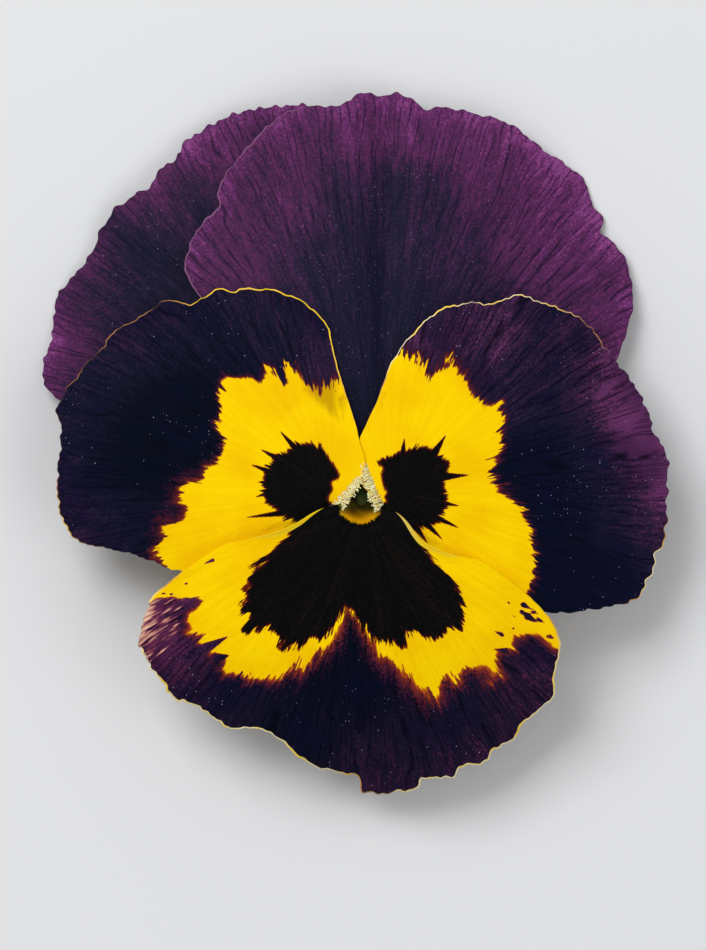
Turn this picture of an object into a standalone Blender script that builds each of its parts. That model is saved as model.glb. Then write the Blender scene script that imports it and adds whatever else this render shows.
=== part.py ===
"""Pansy flower, picked and lying face up.

Metres, +Z up. The origin is on the surface that the flower lies on, straight below the throat, where the
stalk's flat underside rests. +Y runs to the upper petals and +X to the right as the bloom is looked at.
"""

import math

import bmesh
import bpy
import numpy as np
from mathutils import Vector

MM = 0.001

BLADE = 0.6            # thickness of a petal
GAP = 0.3              # clearance between pieces that touch
ROUND = 48             # points round a petal
RINGS = 8              # cells from a petal's heart to its margin
HEART_RADIUS = 0.9     # a blade narrows to its claw inside this radius
CLAW_WAIST = 0.6       # radius of a claw just behind the blade
CLAW_TIP = 0.4         # radius of a claw at its foot

THROAT = (0.0, 0.1)    # middle of the spur's mouth, in plan
HUB = (0.0, 3.2)       # middle of the receptacle, in plan
HUB_TOP = 8.6          # height of the receptacle's top
CLAW_FOOT = 2.15       # distance of a claw's foot from the hub's axis

LEFT_HEART = (-3.3, 1.6)       # where each blade leaves its claw, in plan
RIGHT_HEART = (3.3, 1.6)
UPPER_LEFT_HEART = (-1.7, 6.3)
UPPER_RIGHT_HEART = (1.7, 6.3)

MOUTH_BORE = 0.95      # inner radius of the spur's mouth
SPUR_WALL = 0.4
SPUR_END = 0.35        # how far the spur's blunt tip bulges past its last ring
HEART_CROWD = 1.9      # crowds the lower petal's rings towards its throat
SPUR_PATH = (
    (0.0, -0.3, 9.9),
    (0.0, -1.05, 8.8),
    (0.0, -1.75, 7.7),
    (0.0, -2.7, 6.7),
    (0.0, -4.0, 6.0),
    (0.0, -5.4, 5.7),
)
SPUR_RADII = (1.0, 1.05, 1.05, 1.05, 1.0, 0.6)

# The stalk's centre line, from the receptacle's top to its cut end, with its radius at each point.
STALK_SIDES = 10
STALK_LINE = (
    (0.0, 3.2, 8.6, 2.6),
    (0.0, 3.2, 8.2, 2.6),
    (0.0, 3.2, 7.4, 2.35),
    (0.0, 3.25, 6.7, 1.6),
    (0.0, 3.6, 5.8, 1.15),
    (0.0, 4.25, 4.7, 1.0),
    (0.0, 4.5, 3.5, 1.0),
    (0.0, 4.0, 2.3, 1.0),
    (0.0, 2.9, 1.4, 1.0),
    (0.0, 1.6, 1.0, 1.0),
    (0.0, -0.5, 1.0, 1.0),
    (-0.2, -3.0, 1.0, 1.0),
    (-0.9, -8.0, 1.0, 1.0),
    (-1.9, -13.0, 1.0, 1.0),
    (-3.2, -19.0, 1.0, 1.0),
    (-4.6, -25.0, 1.0, 1.0),
)
BRACT_SEAT = (-1.7, -12.0, 1.2)    # where the two bracteoles leave the stalk
BRACT_REACH = (1.5, -2.4, 0.9)
BRACT_SPREAD = 0.55
BRACT_RADII = (0.5, 0.55, 0.3)

# A sepal's centre line, as distance from the hub's axis and height, with its half width there.
SEPAL_LINE = (
    (4.3, 4.4, 0.7),
    (3.9, 5.4, 1.2),
    (3.5, 6.6, 1.3),
    (3.3, 7.5, 1.1),
    (3.6, 8.2, 1.1),
    (4.6, 8.6, 1.3),
    (6.6, 8.9, 1.9),
    (9.0, 9.0, 2.3),
    (11.4, 8.8, 2.1),
    (13.6, 8.4, 1.4),
    (15.6, 7.9, 0.4),
)
SEPAL_THICK = 0.7
SEPAL_CUP = 0.12       # how far a sepal's edges bend back, for each unit of half width
SEPAL_ACROSS = (-1.0, -0.5, 0.0, 0.5, 1.0)
SEPAL_TURNS = {"north": 90, "east": 14, "south_east": -47, "south_west": 227, "west": 166}

# The pistil's centre line, as distance in front of the hub's axis and height, with its radius.
PISTIL_LINE = (
    (0.0, 8.9, 0.45),
    (0.0, 9.4, 0.7),
    (0.0, 10.3, 0.65),
    (0.05, 10.8, 0.3),
    (0.3, 11.4, 0.25),
    (0.9, 12.0, 0.3),
    (1.4, 12.3, 0.55),
    (1.8, 12.4, 0.72),
    (2.3, 12.4, 0.6),
    (2.6, 12.35, 0.25),
)
PISTIL_SIDES = 8

# A stamen's centre line, as distance from the hub's axis and height, with its radius.
STAMEN_LINE = (
    (1.2, 8.9, 0.18),
    (1.22, 9.2, 0.3),
    (1.25, 9.9, 0.36),
    (1.2, 10.5, 0.34),
    (1.0, 10.9, 0.2),
)
STAMENS = 5
STAMEN_SIDES = 6

BEARD_KNOBS = 9        # swellings along the ridge of a beard
BEARD_RIDGE = 0.45     # height of the ridge's middle above its clearance
BEARD_RADII = (0.42, 0.52)
BEARD_END = 0.45       # share of the ridge's radius left at its two ends
BEARD_SIDES = 7
STUB_REACH = (0.75, 0.25)          # how far a stub stands out sideways and up
STUB_RADII = (0.16, 0.12)
STUB_SIDES = 4

# Outlines of the petals in plan, in millimetres, each read round its blade.
UPPER_LEFT = (
    (-1.7, 4.9), (-4.2, 4.6), (-12.0, 5.6), (-22.0, 7.4), (-30.0, 9.6), (-34.6, 11.9), (-36.2, 14.0),
    (-36.3, 16.4), (-35.5, 19.4), (-35.1, 22.4), (-33.6, 25.6), (-30.9, 29.0), (-28.5, 33.4),
    (-24.2, 36.8), (-22.6, 38.9), (-21.3, 39.4), (-20.3, 41.3), (-17.3, 43.4), (-13.9, 44.9),
    (-9.0, 45.6), (-4.6, 45.2), (-1.8, 40.5), (-0.2, 32.0), (-0.2, 21.0), (-0.2, 12.0), (-0.3, 6.4),
)
UPPER_RIGHT = (
    (1.7, 4.7), (4.4, 4.6), (11.0, 6.2), (20.0, 9.4), (26.4, 13.0), (29.2, 16.8), (30.4, 20.4),
    (31.0, 24.0), (30.2, 27.8), (27.6, 31.1), (27.5, 33.0), (25.7, 36.8), (20.7, 40.6), (16.3, 43.7),
    (9.6, 45.5), (7.2, 45.3), (4.0, 47.1), (2.4, 46.6), (-0.3, 47.0), (-2.6, 45.7), (-5.6, 45.5),
    (-9.0, 44.6), (-12.6, 41.4), (-16.2, 36.4), (-16.5, 33.9), (-18.6, 31.6), (-20.1, 27.6),
    (-18.9, 24.0), (-15.0, 19.6), (-9.0, 14.2), (-3.2, 9.4), (-0.1, 6.2),
)
LATERAL_LEFT = (
    (-1.5, 1.05), (-0.35, 2.1), (-0.2, 5.2), (-0.7, 9.2), (-2.2, 14.0), (-3.8, 19.1), (-3.7, 20.6),
    (-6.0, 22.6), (-10.0, 24.4), (-16.6, 24.4), (-19.3, 22.9), (-22.7, 23.2), (-28.7, 19.4),
    (-31.2, 16.4), (-34.4, 12.0), (-34.4, 8.4), (-34.7, 2.8), (-34.2, -1.4), (-32.0, -4.2),
    (-25.7, -5.7), (-20.6, -7.6), (-16.6, -8.0), (-11.6, -6.3), (-7.4, -4.2), (-4.8, -1.6), (-3.2, -0.3),
)
LATERAL_RIGHT = (
    (1.5, 1.0), (2.95, -0.2), (4.6, -1.7), (7.0, -4.3), (11.0, -7.4), (16.2, -10.6), (21.2, -12.2),
    (26.1, -11.9), (30.8, -11.0), (32.6, -8.6), (34.3, -4.6), (34.6, 1.0), (34.8, 4.9), (33.0, 9.0),
    (30.8, 13.9), (28.6, 16.7), (25.7, 20.5), (21.2, 22.6), (17.6, 23.9), (14.6, 22.9), (9.4, 22.4),
    (5.6, 19.3), (2.9, 15.2), (0.8, 10.4), (0.1, 7.2), (0.25, 4.7), (0.2, 2.1),
)
LOWER = (
    (3.66, -0.4), (4.9, -2.6), (6.6, -4.7), (8.6, -5.7), (13.3, -6.3), (17.6, -9.1), (21.2, -12.7),
    (22.5, -16.4), (21.9, -19.4), (21.6, -21.9), (17.6, -26.0), (14.6, -28.9), (10.6, -30.8),
    (7.2, -31.3), (5.0, -32.6), (0.6, -32.8), (-0.9, -31.0), (-5.7, -29.6), (-9.6, -26.6),
    (-14.0, -25.5), (-20.4, -22.3), (-23.4, -19.3), (-25.3, -15.7), (-24.3, -11.6), (-20.3, -7.5),
    (-16.0, -4.8), (-11.2, -3.7), (-6.6, -1.8), (-4.5, -0.1),
)
LIP_RADIUS = 1.4       # the lower petal's margin behind the mouth
LEFT_CORNER = [(-2.8, 0.02), (-2.0, 0.15)]
RIGHT_CORNER = [(2.0, -0.05), (2.8, -0.3)]

# The lower petal's shoulders hide part of its lobes from the mouth, so its rays bow round them. Each pair gives
# a margin point's direction from the petal's middle, and the direction in which its ray leaves the mouth.
MIDDLE = (0.0, -8.0)
RIGHT_BOW = (
    (-90.0, -90.0), (-47.5, -69.0), (-32.0, -62.5), (-21.2, -58.0), (-12.5, -55.0), (-0.4, -51.0),
    (7.3, -48.5), (14.3, -45.5), (19.2, -43.5), (25.0, -41.0), (31.7, -37.0), (38.9, -31.5),
    (48.3, -23.5), (56.9, -15.5),
)
LEFT_BOW = (
    (118.8, 181.0), (131.0, 193.0), (147.6, 202.5), (161.5, 208.5), (167.9, 211.5), (178.6, 216.5),
    (190.0, 222.0), (208.9, 232.0), (270.0, 270.0),
)
BOW_START = (3.8, 6.0)     # rays shorter than the first stay straight, and past the second bow fully
BOW_REACH = 0.7            # how far along its reach a ray keeps its first direction


def closed_curve(points, count):
    """Points at equal turns of the parameter of a smooth closed curve through the given points."""
    p = np.array(points, dtype=float)
    n = len(p)
    step = np.linalg.norm(np.roll(p, -1, axis=0) - p, axis=1)
    along = np.concatenate([[0.0], np.cumsum(np.sqrt(step * step.mean()))])
    found = []
    for s in np.linspace(0.0, along[-1], count, endpoint=False):
        i = min(int(np.searchsorted(along, s, side="right")) - 1, n - 1)
        t = (s - along[i]) / (along[i + 1] - along[i])
        a, b, c, d = (p[(i + k) % n] for k in (-1, 0, 1, 2))
        curve = 2 * b + (c - a) * t + (2 * a - 5 * b + 4 * c - d) * t * t + (3 * b - a - 3 * c + d) * t ** 3
        found.append(curve / 2)
    return np.array(found)


def smooth_step(low, high, value):
    t = np.clip((value - low) / (high - low), 0.0, 1.0)
    return t * t * (3.0 - 2.0 * t)


def ruffle(x, y, v, turns, start, size):
    """Waves that grow towards a free margin and leave the heart of the petal smooth."""
    return size * v ** 4 * np.sin(turns * np.arctan2(y, x) + start) * smooth_step(16.0, 28.0, np.hypot(x, y))


def height_upper_left(x, y, v):
    """Mid surface of the upper left petal, which droops until its margin meets the surface below."""
    fall = 0.0067 * x * x + 0.0040 * y * y
    return 11.2 - fall + ruffle(x, y, v, 9.0, 0.6, 0.6) * smooth_step(14.0, 26.0, -x)


def height_upper_right(x, y, v):
    """Mid surface of the upper right petal: a dome with a crease up its middle and a waved free margin."""
    fall = np.where(x > 0.0, 0.0096, 0.0062) * x * x + 0.0041 * y * y
    crease = np.exp(-((x - 2.8) / 1.9) ** 2) * smooth_step(10.0, 22.0, y) * (1.0 - 0.5 * v ** 6)
    left = 0.2 * smooth_step(8.0, 18.0, -x)
    return 12.9 - fall - crease + left + ruffle(x, y, v, 12.0, 0.0, 0.8) * smooth_step(-8.0, 6.0, x)


def height_lateral_left(x, y, v):
    """Mid surface of the left lateral petal, raised where it crosses its neighbour."""
    fall = 0.0045 * (x * x + y * y)
    over = 0.3 * np.exp(-(((x + 0.2) / 5.0) ** 2 + ((y - 5.0) / 6.0) ** 2))
    return 14.0 - fall + over + ruffle(x, y, v, 9.0, 0.0, 0.7) * smooth_step(10.0, 24.0, -x)


def height_lateral_right(x, y, v):
    """Mid surface of the right lateral petal."""
    fall = 0.0043 * (x * x + y * y)
    return 13.9 - fall + ruffle(x, y, v, 9.0, 0.9, 0.8) * smooth_step(10.0, 24.0, x)


def height_lower(x, y, v):
    """Mid surface of the lower petal: a shallow saddle that dips into the throat."""
    r = np.hypot(x - THROAT[0], y - THROAT[1])
    fall = 0.0043 * (x * x + y * y) + 0.014 * np.maximum(-y - 14.0, 0.0) ** 2
    dip = 4.3 * np.exp(-np.maximum(r - 1.1, 0.0) ** 2)
    return 15.3 - fall - dip + ruffle(x, y, v, 9.0, 0.4, 0.9) * smooth_step(12.0, 24.0, -y)


def faces_between(mesh, lower, upper):
    """Pairs of triangles between two rings of vertices."""
    n = len(lower)
    for i in range(n):
        j = (i + 1) % n
        mesh.faces.new((lower[i], lower[j], upper[j]))
        mesh.faces.new((lower[i], upper[j], upper[i]))


def new_ring(mesh, points):
    return [mesh.verts.new(Vector(p) * MM) for p in points]


def finish(mesh, name, material):
    """Turn the built mesh into a named object with outward faces."""
    bmesh.ops.recalc_face_normals(mesh, faces=mesh.faces)
    data = bpy.data.meshes.new(name)
    mesh.to_mesh(data)
    mesh.free()
    data.materials.append(material)
    data.shade_smooth()
    data.set_sharp_from_angle(angle=math.radians(40))
    piece = bpy.data.objects.new(name, data)
    bpy.context.collection.objects.link(piece)
    return piece


def cap(mesh, ring, centre):
    """Close a ring with a fan to one point."""
    tip = mesh.verts.new(Vector(centre) * MM)
    n = len(ring)
    for i in range(n):
        mesh.faces.new((ring[i], ring[(i + 1) % n], tip))


def blade_rings(outline, heart, height, inner, lift):
    """Rings of one face of a petal, from the inner radius about its heart to the outline."""
    rings = []
    rays = outline - np.array(heart)
    reach = np.hypot(rays[:, 0], rays[:, 1])
    rays = rays / reach[:, None]
    for k in range(RINGS + 1):
        s = k / RINGS
        r = inner + (reach - inner) * s
        x = heart[0] + rays[:, 0] * r
        y = heart[1] + rays[:, 1] * r
        z = height(x, y, np.full(len(x), s)) + lift
        rings.append(np.stack([x, y, z], axis=1))
    return rings


def petal(name, outline, heart, height, foot_angle, material):
    """A blade on a claw whose foot stands on the receptacle."""
    margin = closed_curve(outline, ROUND)
    top = blade_rings(margin, heart, height, HEART_RADIUS, BLADE / 2)
    bottom = blade_rings(margin, heart, height, HEART_RADIUS, -BLADE / 2)
    mesh = bmesh.new()
    top_rings = [new_ring(mesh, ring) for ring in top]
    bottom_rings = [new_ring(mesh, ring) for ring in bottom]
    middle = np.array([heart[0], heart[1], float(height(np.array(heart[0]), np.array(heart[1]), 0.0))])
    cap(mesh, top_rings[0], middle + (0.0, 0.0, BLADE / 2))
    for rings in (top_rings, bottom_rings):
        for k in range(RINGS):
            faces_between(mesh, rings[k], rings[k + 1])
    faces_between(mesh, bottom_rings[-1], top_rings[-1])
    foot = np.array([
        HUB[0] + CLAW_FOOT * math.cos(foot_angle),
        HUB[1] + CLAW_FOOT * math.sin(foot_angle),
        HUB_TOP + GAP,
    ])
    turn = (bottom[0][:, :2] - middle[:2]) / HEART_RADIUS
    last = bottom_rings[0]
    for t, radius in ((0.35, CLAW_WAIST), (1.0, CLAW_TIP)):
        centre = middle + (foot - middle) * t
        level = np.full(len(turn), centre[2])
        new = new_ring(mesh, np.column_stack([centre[:2] + turn * radius, level]))
        faces_between(mesh, last, new)
        last = new
    cap(mesh, last, foot)
    return finish(mesh, name, material)


def lower_outline():
    """The lower petal's margin, closed behind the mouth by an arc of the lip between its two shoulders."""
    arc = [
        (THROAT[0] + LIP_RADIUS * math.cos(a), THROAT[1] + LIP_RADIUS * math.sin(a))
        for a in np.linspace(math.radians(168), math.radians(12), 6)
    ]
    lip = LEFT_CORNER + arc + RIGHT_CORNER
    blade = closed_curve(LOWER, 400)
    start = int(np.argmin(np.hypot(blade[:, 0] - LOWER[0][0], blade[:, 1] - LOWER[0][1])))
    blade = np.roll(blade, -start, axis=0)
    end = int(np.argmin(np.hypot(blade[:, 0] - LOWER[-1][0], blade[:, 1] - LOWER[-1][1])))
    picks = np.linspace(0, end, ROUND - len(lip)).round().astype(int)
    return np.concatenate([blade[picks], lip])


def direction(points, centre):
    """Directions of the points from a centre, in degrees from -90 to 270."""
    turn = np.degrees(np.arctan2(points[:, 1] - centre[1], points[:, 0] - centre[0]))
    return np.where(turn < -90.0, turn + 360.0, turn)


def first_turns(margin):
    """The directions in which the rays leave the mouth, turning steadily on from one ray to the next."""
    reach = np.hypot(margin[:, 0] - THROAT[0], margin[:, 1] - THROAT[1])
    middle = direction(margin, MIDDLE)
    right, left = np.array(RIGHT_BOW), np.array(LEFT_BOW)
    bowed = np.where(margin[:, 0] > 0.0, np.interp(middle, right[:, 0], right[:, 1]),
                     np.interp(middle, left[:, 0], left[:, 1]))
    share = smooth_step(BOW_START[0], BOW_START[1], reach)
    turn = direction(margin, THROAT) * (1.0 - share) + bowed * share
    start = int(np.argmax(margin[:, 1]))
    turn = np.degrees(np.unwrap(np.radians(np.roll(turn, -start))))
    turn = np.minimum.accumulate(turn)
    longer = np.concatenate([turn[-1:] + 360.0, turn, turn[:1] - 360.0])
    return np.radians(np.roll(np.convolve(longer, (0.25, 0.5, 0.25), mode="valid"), start))


def bowed_rings(margin, turn, inner, lift):
    """Rings of one face of the lower petal, on rays that leave the mouth in the given directions."""
    out = np.column_stack([np.cos(turn), np.sin(turn)])
    reach = np.hypot(margin[:, 0] - THROAT[0], margin[:, 1] - THROAT[1])[:, None]
    first = np.array(THROAT) + out * inner
    lean = np.array(THROAT) + out * (inner + (reach - inner) * BOW_REACH)
    rings = []
    for k in range(RINGS + 1):
        s = (k / RINGS) ** HEART_CROWD
        flat = (1.0 - s) ** 2 * first + 2.0 * s * (1.0 - s) * lean + s * s * margin
        x, y = flat[:, 0], flat[:, 1]
        z = height_lower(x, y, np.full(len(x), s)) + lift
        rings.append(np.stack([x, y, z], axis=1))
    return rings


def lower_petal(material):
    """The lower petal, whose two faces run on through the throat as the inside and outside of the spur."""
    margin = lower_outline()
    turns = first_turns(margin)
    top = bowed_rings(margin, turns, MOUTH_BORE, BLADE / 2)
    bottom = bowed_rings(margin, turns, MOUTH_BORE + SPUR_WALL, -BLADE / 2)
    mesh = bmesh.new()
    top_rings = [new_ring(mesh, ring) for ring in top]
    bottom_rings = [new_ring(mesh, ring) for ring in bottom]
    for rings in (top_rings, bottom_rings):
        for k in range(RINGS):
            faces_between(mesh, rings[k], rings[k + 1])
    faces_between(mesh, bottom_rings[-1], top_rings[-1])
    turn = np.column_stack([np.cos(turns), np.sin(turns)])
    for start, wall in ((top_rings[0], 0.0), (bottom_rings[0], SPUR_WALL)):
        last = start
        for i, centre in enumerate(SPUR_PATH):
            before = np.array(SPUR_PATH[max(i - 1, 0)])
            after = np.array(SPUR_PATH[min(i + 1, len(SPUR_PATH) - 1)])
            along = (after - before) / np.linalg.norm(after - before)
            north = np.cross((1.0, 0.0, 0.0), along)
            north = north if north[1] >= 0 else -north
            radius = SPUR_RADII[i] + wall
            ring = (np.array(centre) + radius * turn[:, :1] * np.array((1.0, 0.0, 0.0))
                    + radius * turn[:, 1:] * north)
            new = new_ring(mesh, ring)
            faces_between(mesh, last, new)
            last = new
        end = np.array(SPUR_PATH[-1])
        cap(mesh, last, end + along * (SPUR_END + wall))
    return finish(mesh, "petal_lower", material)


def tube(mesh, path, radii, sides, first_turn=0.0):
    """A closed tube along a path; its rings start at first_turn from the path's level side."""
    points = np.array(path)
    last = None
    for i, centre in enumerate(points):
        along = points[min(i + 1, len(points) - 1)] - points[max(i - 1, 0)]
        along = along / np.linalg.norm(along)
        side = np.array((1.0, 0.0, 0.0)) - along[0] * along
        side = side / np.linalg.norm(side)
        up = np.cross(side, along)
        angles = first_turn + np.arange(sides) * 2 * math.pi / sides
        new = new_ring(mesh, centre + radii[i] * (np.cos(angles)[:, None] * side + np.sin(angles)[:, None] * up))
        if last is None:
            cap(mesh, new, centre)
        else:
            faces_between(mesh, last, new)
        last = new
    cap(mesh, last, points[-1])


def stalk(material):
    """The pedicel with the receptacle on top, laid along the surface, and its two bracteoles."""
    facet = math.pi / STALK_SIDES
    radii = [radius / math.cos(facet) for _, _, _, radius in STALK_LINE]
    mesh = bmesh.new()
    tube(mesh, [point[:3] for point in STALK_LINE], radii, STALK_SIDES, -math.pi / 2 + facet)
    body = finish(mesh, "pedicel", material)
    for side in (-1, 1):
        root = np.array(BRACT_SEAT) + (BRACT_SPREAD * side, 0.0, 0.0)
        tip = root + np.array(BRACT_REACH) * (side, 1.0, 1.0)
        mesh = bmesh.new()
        tube(mesh, [root, (root + tip) / 2, tip], BRACT_RADII, 6)
        join(body, finish(mesh, "bracteole", material))
    return body


def join(body, extra):
    """Fuse one piece into another and remove it."""
    cut = body.modifiers.new("fuse", "BOOLEAN")
    cut.operation = "UNION"
    cut.solver = "EXACT"
    cut.object = extra
    bpy.context.view_layer.update()
    fused = bpy.data.meshes.new_from_object(body.evaluated_get(bpy.context.evaluated_depsgraph_get()))
    body.modifiers.remove(cut)
    old = body.data
    body.data = fused
    fused.name = body.name
    bpy.data.meshes.remove(old)
    bpy.data.objects.remove(extra)


def sepal(name, degrees, material):
    """A pointed sepal that rises behind the petals, with its auricle turned back below its seat."""
    a = math.radians(degrees)
    out = np.array((math.cos(a), math.sin(a), 0.0))
    across = np.array((-math.sin(a), math.cos(a), 0.0))
    centres = [np.array((HUB[0], HUB[1], 0.0)) + out * d + np.array((0.0, 0.0, z)) for d, z, _ in SEPAL_LINE]
    mesh = bmesh.new()
    last = None
    for i, centre in enumerate(centres):
        along = centres[min(i + 1, len(centres) - 1)] - centres[max(i - 1, 0)]
        along = along / np.linalg.norm(along)
        face = np.cross(along, across)
        half = SEPAL_LINE[i][2]
        cup = SEPAL_CUP * half
        front = [centre + across * half * c + face * (SEPAL_THICK / 2 - cup * c * c) for c in SEPAL_ACROSS]
        back = [centre + across * half * c - face * (SEPAL_THICK / 2 + cup * c * c)
                for c in reversed(SEPAL_ACROSS)]
        ring = new_ring(mesh, front + back)
        if last is None:
            close_strip(mesh, ring)
        else:
            faces_between(mesh, last, ring)
        last = ring
    close_strip(mesh, last)
    return finish(mesh, name, material)


def close_strip(mesh, ring):
    """Triangles over the end of a strip whose ring is its front edge and then its back edge."""
    n = len(ring)
    for i in range(n // 2 - 1):
        a, b, c, d = ring[i], ring[i + 1], ring[n - 2 - i], ring[n - 1 - i]
        mesh.faces.new((a, b, c))
        mesh.faces.new((a, c, d))


def pistil(material):
    """Ovary, style bent forward, and the round stigma head in the throat."""
    mesh = bmesh.new()
    path = [(HUB[0], HUB[1] - forward, z) for forward, z, _ in PISTIL_LINE]
    tube(mesh, path, [radius for _, _, radius in PISTIL_LINE], PISTIL_SIDES)
    return finish(mesh, "pistil", material)


def stamen(number, material):
    """An anther close against the ovary, with its dry tip leaning in."""
    a = math.radians(-90 + 360 * number / STAMENS)
    path = [(HUB[0] + math.cos(a) * d, HUB[1] + math.sin(a) * d, z) for d, z, _ in STAMEN_LINE]
    mesh = bmesh.new()
    tube(mesh, path, [radius for _, _, radius in STAMEN_LINE], STAMEN_SIDES)
    return finish(mesh, "stamen_%d" % (number + 1), material)


def beard(name, start, end, height, material):
    """A ridge of short club hairs beside the throat, as one body with a knobbly crest and side stubs."""
    a = np.array(start)
    b = np.array(end)
    across = np.array((a[1] - b[1], b[0] - a[0])) / np.linalg.norm(b - a)
    path = []
    radii = []
    for i in range(BEARD_KNOBS):
        x, y = a + (b - a) * i / (BEARD_KNOBS - 1)
        path.append(np.array((x, y, float(height(x, y, 0.0)) + BLADE / 2 + GAP + BEARD_RIDGE)))
        radii.append(BEARD_RADII[i % 2] * (BEARD_END if i in (0, BEARD_KNOBS - 1) else 1.0))
    mesh = bmesh.new()
    tube(mesh, path, radii, BEARD_SIDES)
    piece = finish(mesh, name, material)
    for root in path[1:-1]:
        for side in (-1, 1):
            tip = root + np.array((*(across * side * STUB_REACH[0]), STUB_REACH[1]))
            mesh = bmesh.new()
            tube(mesh, (root, tip), STUB_RADII, STUB_SIDES)
            join(piece, finish(mesh, "stub", material))
    return piece


def surface(name, colour, roughness):
    """A plain finish in the piece's own colour."""
    material = bpy.data.materials.new(name)
    material.use_nodes = True
    shader = material.node_tree.nodes["Principled BSDF"]
    shader.inputs["Base Color"].default_value = (*colour, 1.0)
    shader.inputs["Roughness"].default_value = roughness
    shader.inputs["Metallic"].default_value = 0.0
    return material


def clear_scene():
    for item in list(bpy.data.objects):
        bpy.data.objects.remove(item, do_unlink=True)


def build():
    clear_scene()
    violet = surface("violet_petal", (0.10, 0.035, 0.11), 0.7)
    night = surface("night_petal", (0.012, 0.010, 0.035), 0.7)
    gold = surface("gold_petal", (0.80, 0.50, 0.01), 0.65)
    green = surface("green_stalk", (0.10, 0.22, 0.05), 0.55)
    cream = surface("cream_hair", (0.72, 0.62, 0.30), 0.8)
    lime = surface("lime_pistil", (0.35, 0.42, 0.12), 0.5)
    orange = surface("orange_anther", (0.65, 0.33, 0.08), 0.7)

    petal("petal_upper_left", UPPER_LEFT, UPPER_LEFT_HEART, height_upper_left, math.radians(122), violet)
    petal("petal_upper_right", UPPER_RIGHT, UPPER_RIGHT_HEART, height_upper_right, math.radians(58), violet)
    petal("petal_lateral_left", LATERAL_LEFT, LEFT_HEART, height_lateral_left, math.radians(200), night)
    petal("petal_lateral_right", LATERAL_RIGHT, RIGHT_HEART, height_lateral_right, math.radians(-20), night)
    lower_petal(gold)
    stalk(green)
    for place, degrees in SEPAL_TURNS.items():
        sepal("sepal_" + place, degrees, green)
    pistil(lime)
    for number in range(STAMENS):
        stamen(number, orange)
    beard("beard_left", (-0.75, 2.9), (-2.45, 0.95), height_lateral_left, cream)
    beard("beard_right", (0.8, 3.9), (2.35, 0.95), height_lateral_right, cream)


build()
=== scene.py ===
# %% [markdown]
# # A pansy, seen from straight above
#
# A picked garden pansy lies face up on a pale surface. Its plain solids are loaded first. They fix where each
# petal, sepal and stalk is, and how large. Every visible piece is then modelled again at a finer scale on the
# same curves, and gets a finish that is worked out from the piece's own coordinates.

# %% Load the plain model
import math

import bmesh
import bpy
import numpy as np
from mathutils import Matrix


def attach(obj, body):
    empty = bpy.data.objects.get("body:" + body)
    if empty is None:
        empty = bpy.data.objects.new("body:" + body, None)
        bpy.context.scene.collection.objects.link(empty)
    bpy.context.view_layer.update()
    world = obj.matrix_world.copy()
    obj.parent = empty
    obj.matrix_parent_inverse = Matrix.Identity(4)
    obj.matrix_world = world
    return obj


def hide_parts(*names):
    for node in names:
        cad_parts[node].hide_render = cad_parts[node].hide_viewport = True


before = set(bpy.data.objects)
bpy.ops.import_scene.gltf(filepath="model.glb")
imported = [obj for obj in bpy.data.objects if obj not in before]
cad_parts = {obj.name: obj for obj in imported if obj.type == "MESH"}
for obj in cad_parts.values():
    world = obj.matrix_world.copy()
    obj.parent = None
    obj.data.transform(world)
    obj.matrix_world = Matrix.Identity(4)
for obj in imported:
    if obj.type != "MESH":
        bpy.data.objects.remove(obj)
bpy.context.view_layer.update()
MM = 0.001

# %% [markdown]
# ## Camera, surface and light
#
# The picture looks squarely into the flower, so the camera hangs straight above it. A long lens from high up
# keeps the low upper petals and the high lower petal at nearly one scale. The framing is worked out from two
# facts: how many pixels a millimetre takes, and which pixel the middle of the throat falls on.

# %% Camera
PICTURE = (706, 950)
PIXELS_PER_MM = 8.8
THROAT_PIXEL = (362, 505)
FACE_HEIGHT = 0.012
CAMERA_RISE = 1.5


def add_object(name, data):
    """A new object in the scene that shows the data."""
    thing = bpy.data.objects.new(name, data)
    bpy.context.collection.objects.link(thing)
    return thing


def hang_camera():
    """A camera straight above the throat, with its frame as tall as the picture at the petals' height."""
    data = bpy.data.cameras.new("long_lens")
    data.sensor_fit = "VERTICAL"
    data.sensor_height = 24.0
    data.lens = data.sensor_height * CAMERA_RISE / (PICTURE[1] / PIXELS_PER_MM * MM)
    x = (PICTURE[0] / 2 - THROAT_PIXEL[0]) / PIXELS_PER_MM * MM
    y = (THROAT_PIXEL[1] - PICTURE[1] / 2) / PIXELS_PER_MM * MM
    camera = add_object("long_lens", data)
    camera.location = (x, y, FACE_HEIGHT + CAMERA_RISE)
    bpy.context.scene.camera = camera
    return camera


camera = hang_camera()
bpy.context.scene.view_settings.view_transform = "Standard"
print("lens", round(camera.data.lens), "mm, looking down from", round(camera.location.z, 3), "m")


# %% Colours as they are read, and bare finishes
def tone(red, green, blue):
    """A colour read off a screen, from 0 to 255, as the linear light that a shader works in."""
    steps = [value / 255 for value in (red, green, blue)]
    return tuple(s / 12.92 if s <= 0.04045 else ((s + 0.055) / 1.055) ** 2.4 for s in steps) + (1.0,)


def new_finish(name, roughness, sheen=0.0, tint=(1.0, 1.0, 1.0, 1.0), specular=0.3, scatter=0.0):
    """A material with its constant settings made, its node tree and its shader's inputs."""
    material = bpy.data.materials.new(name)
    material.use_nodes = True
    shader = material.node_tree.nodes["Principled BSDF"].inputs
    settings = {"Roughness": roughness, "Specular IOR Level": specular, "Sheen Weight": sheen,
                "Sheen Roughness": 0.5, "Sheen Tint": tint}
    if scatter > 0.0:
        settings.update({"Subsurface Weight": scatter, "Subsurface Radius": (1.0, 0.5, 0.3),
                         "Subsurface Scale": 0.0006})
    for label, value in settings.items():
        shader[label].default_value = value
    return material, material.node_tree, shader


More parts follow.
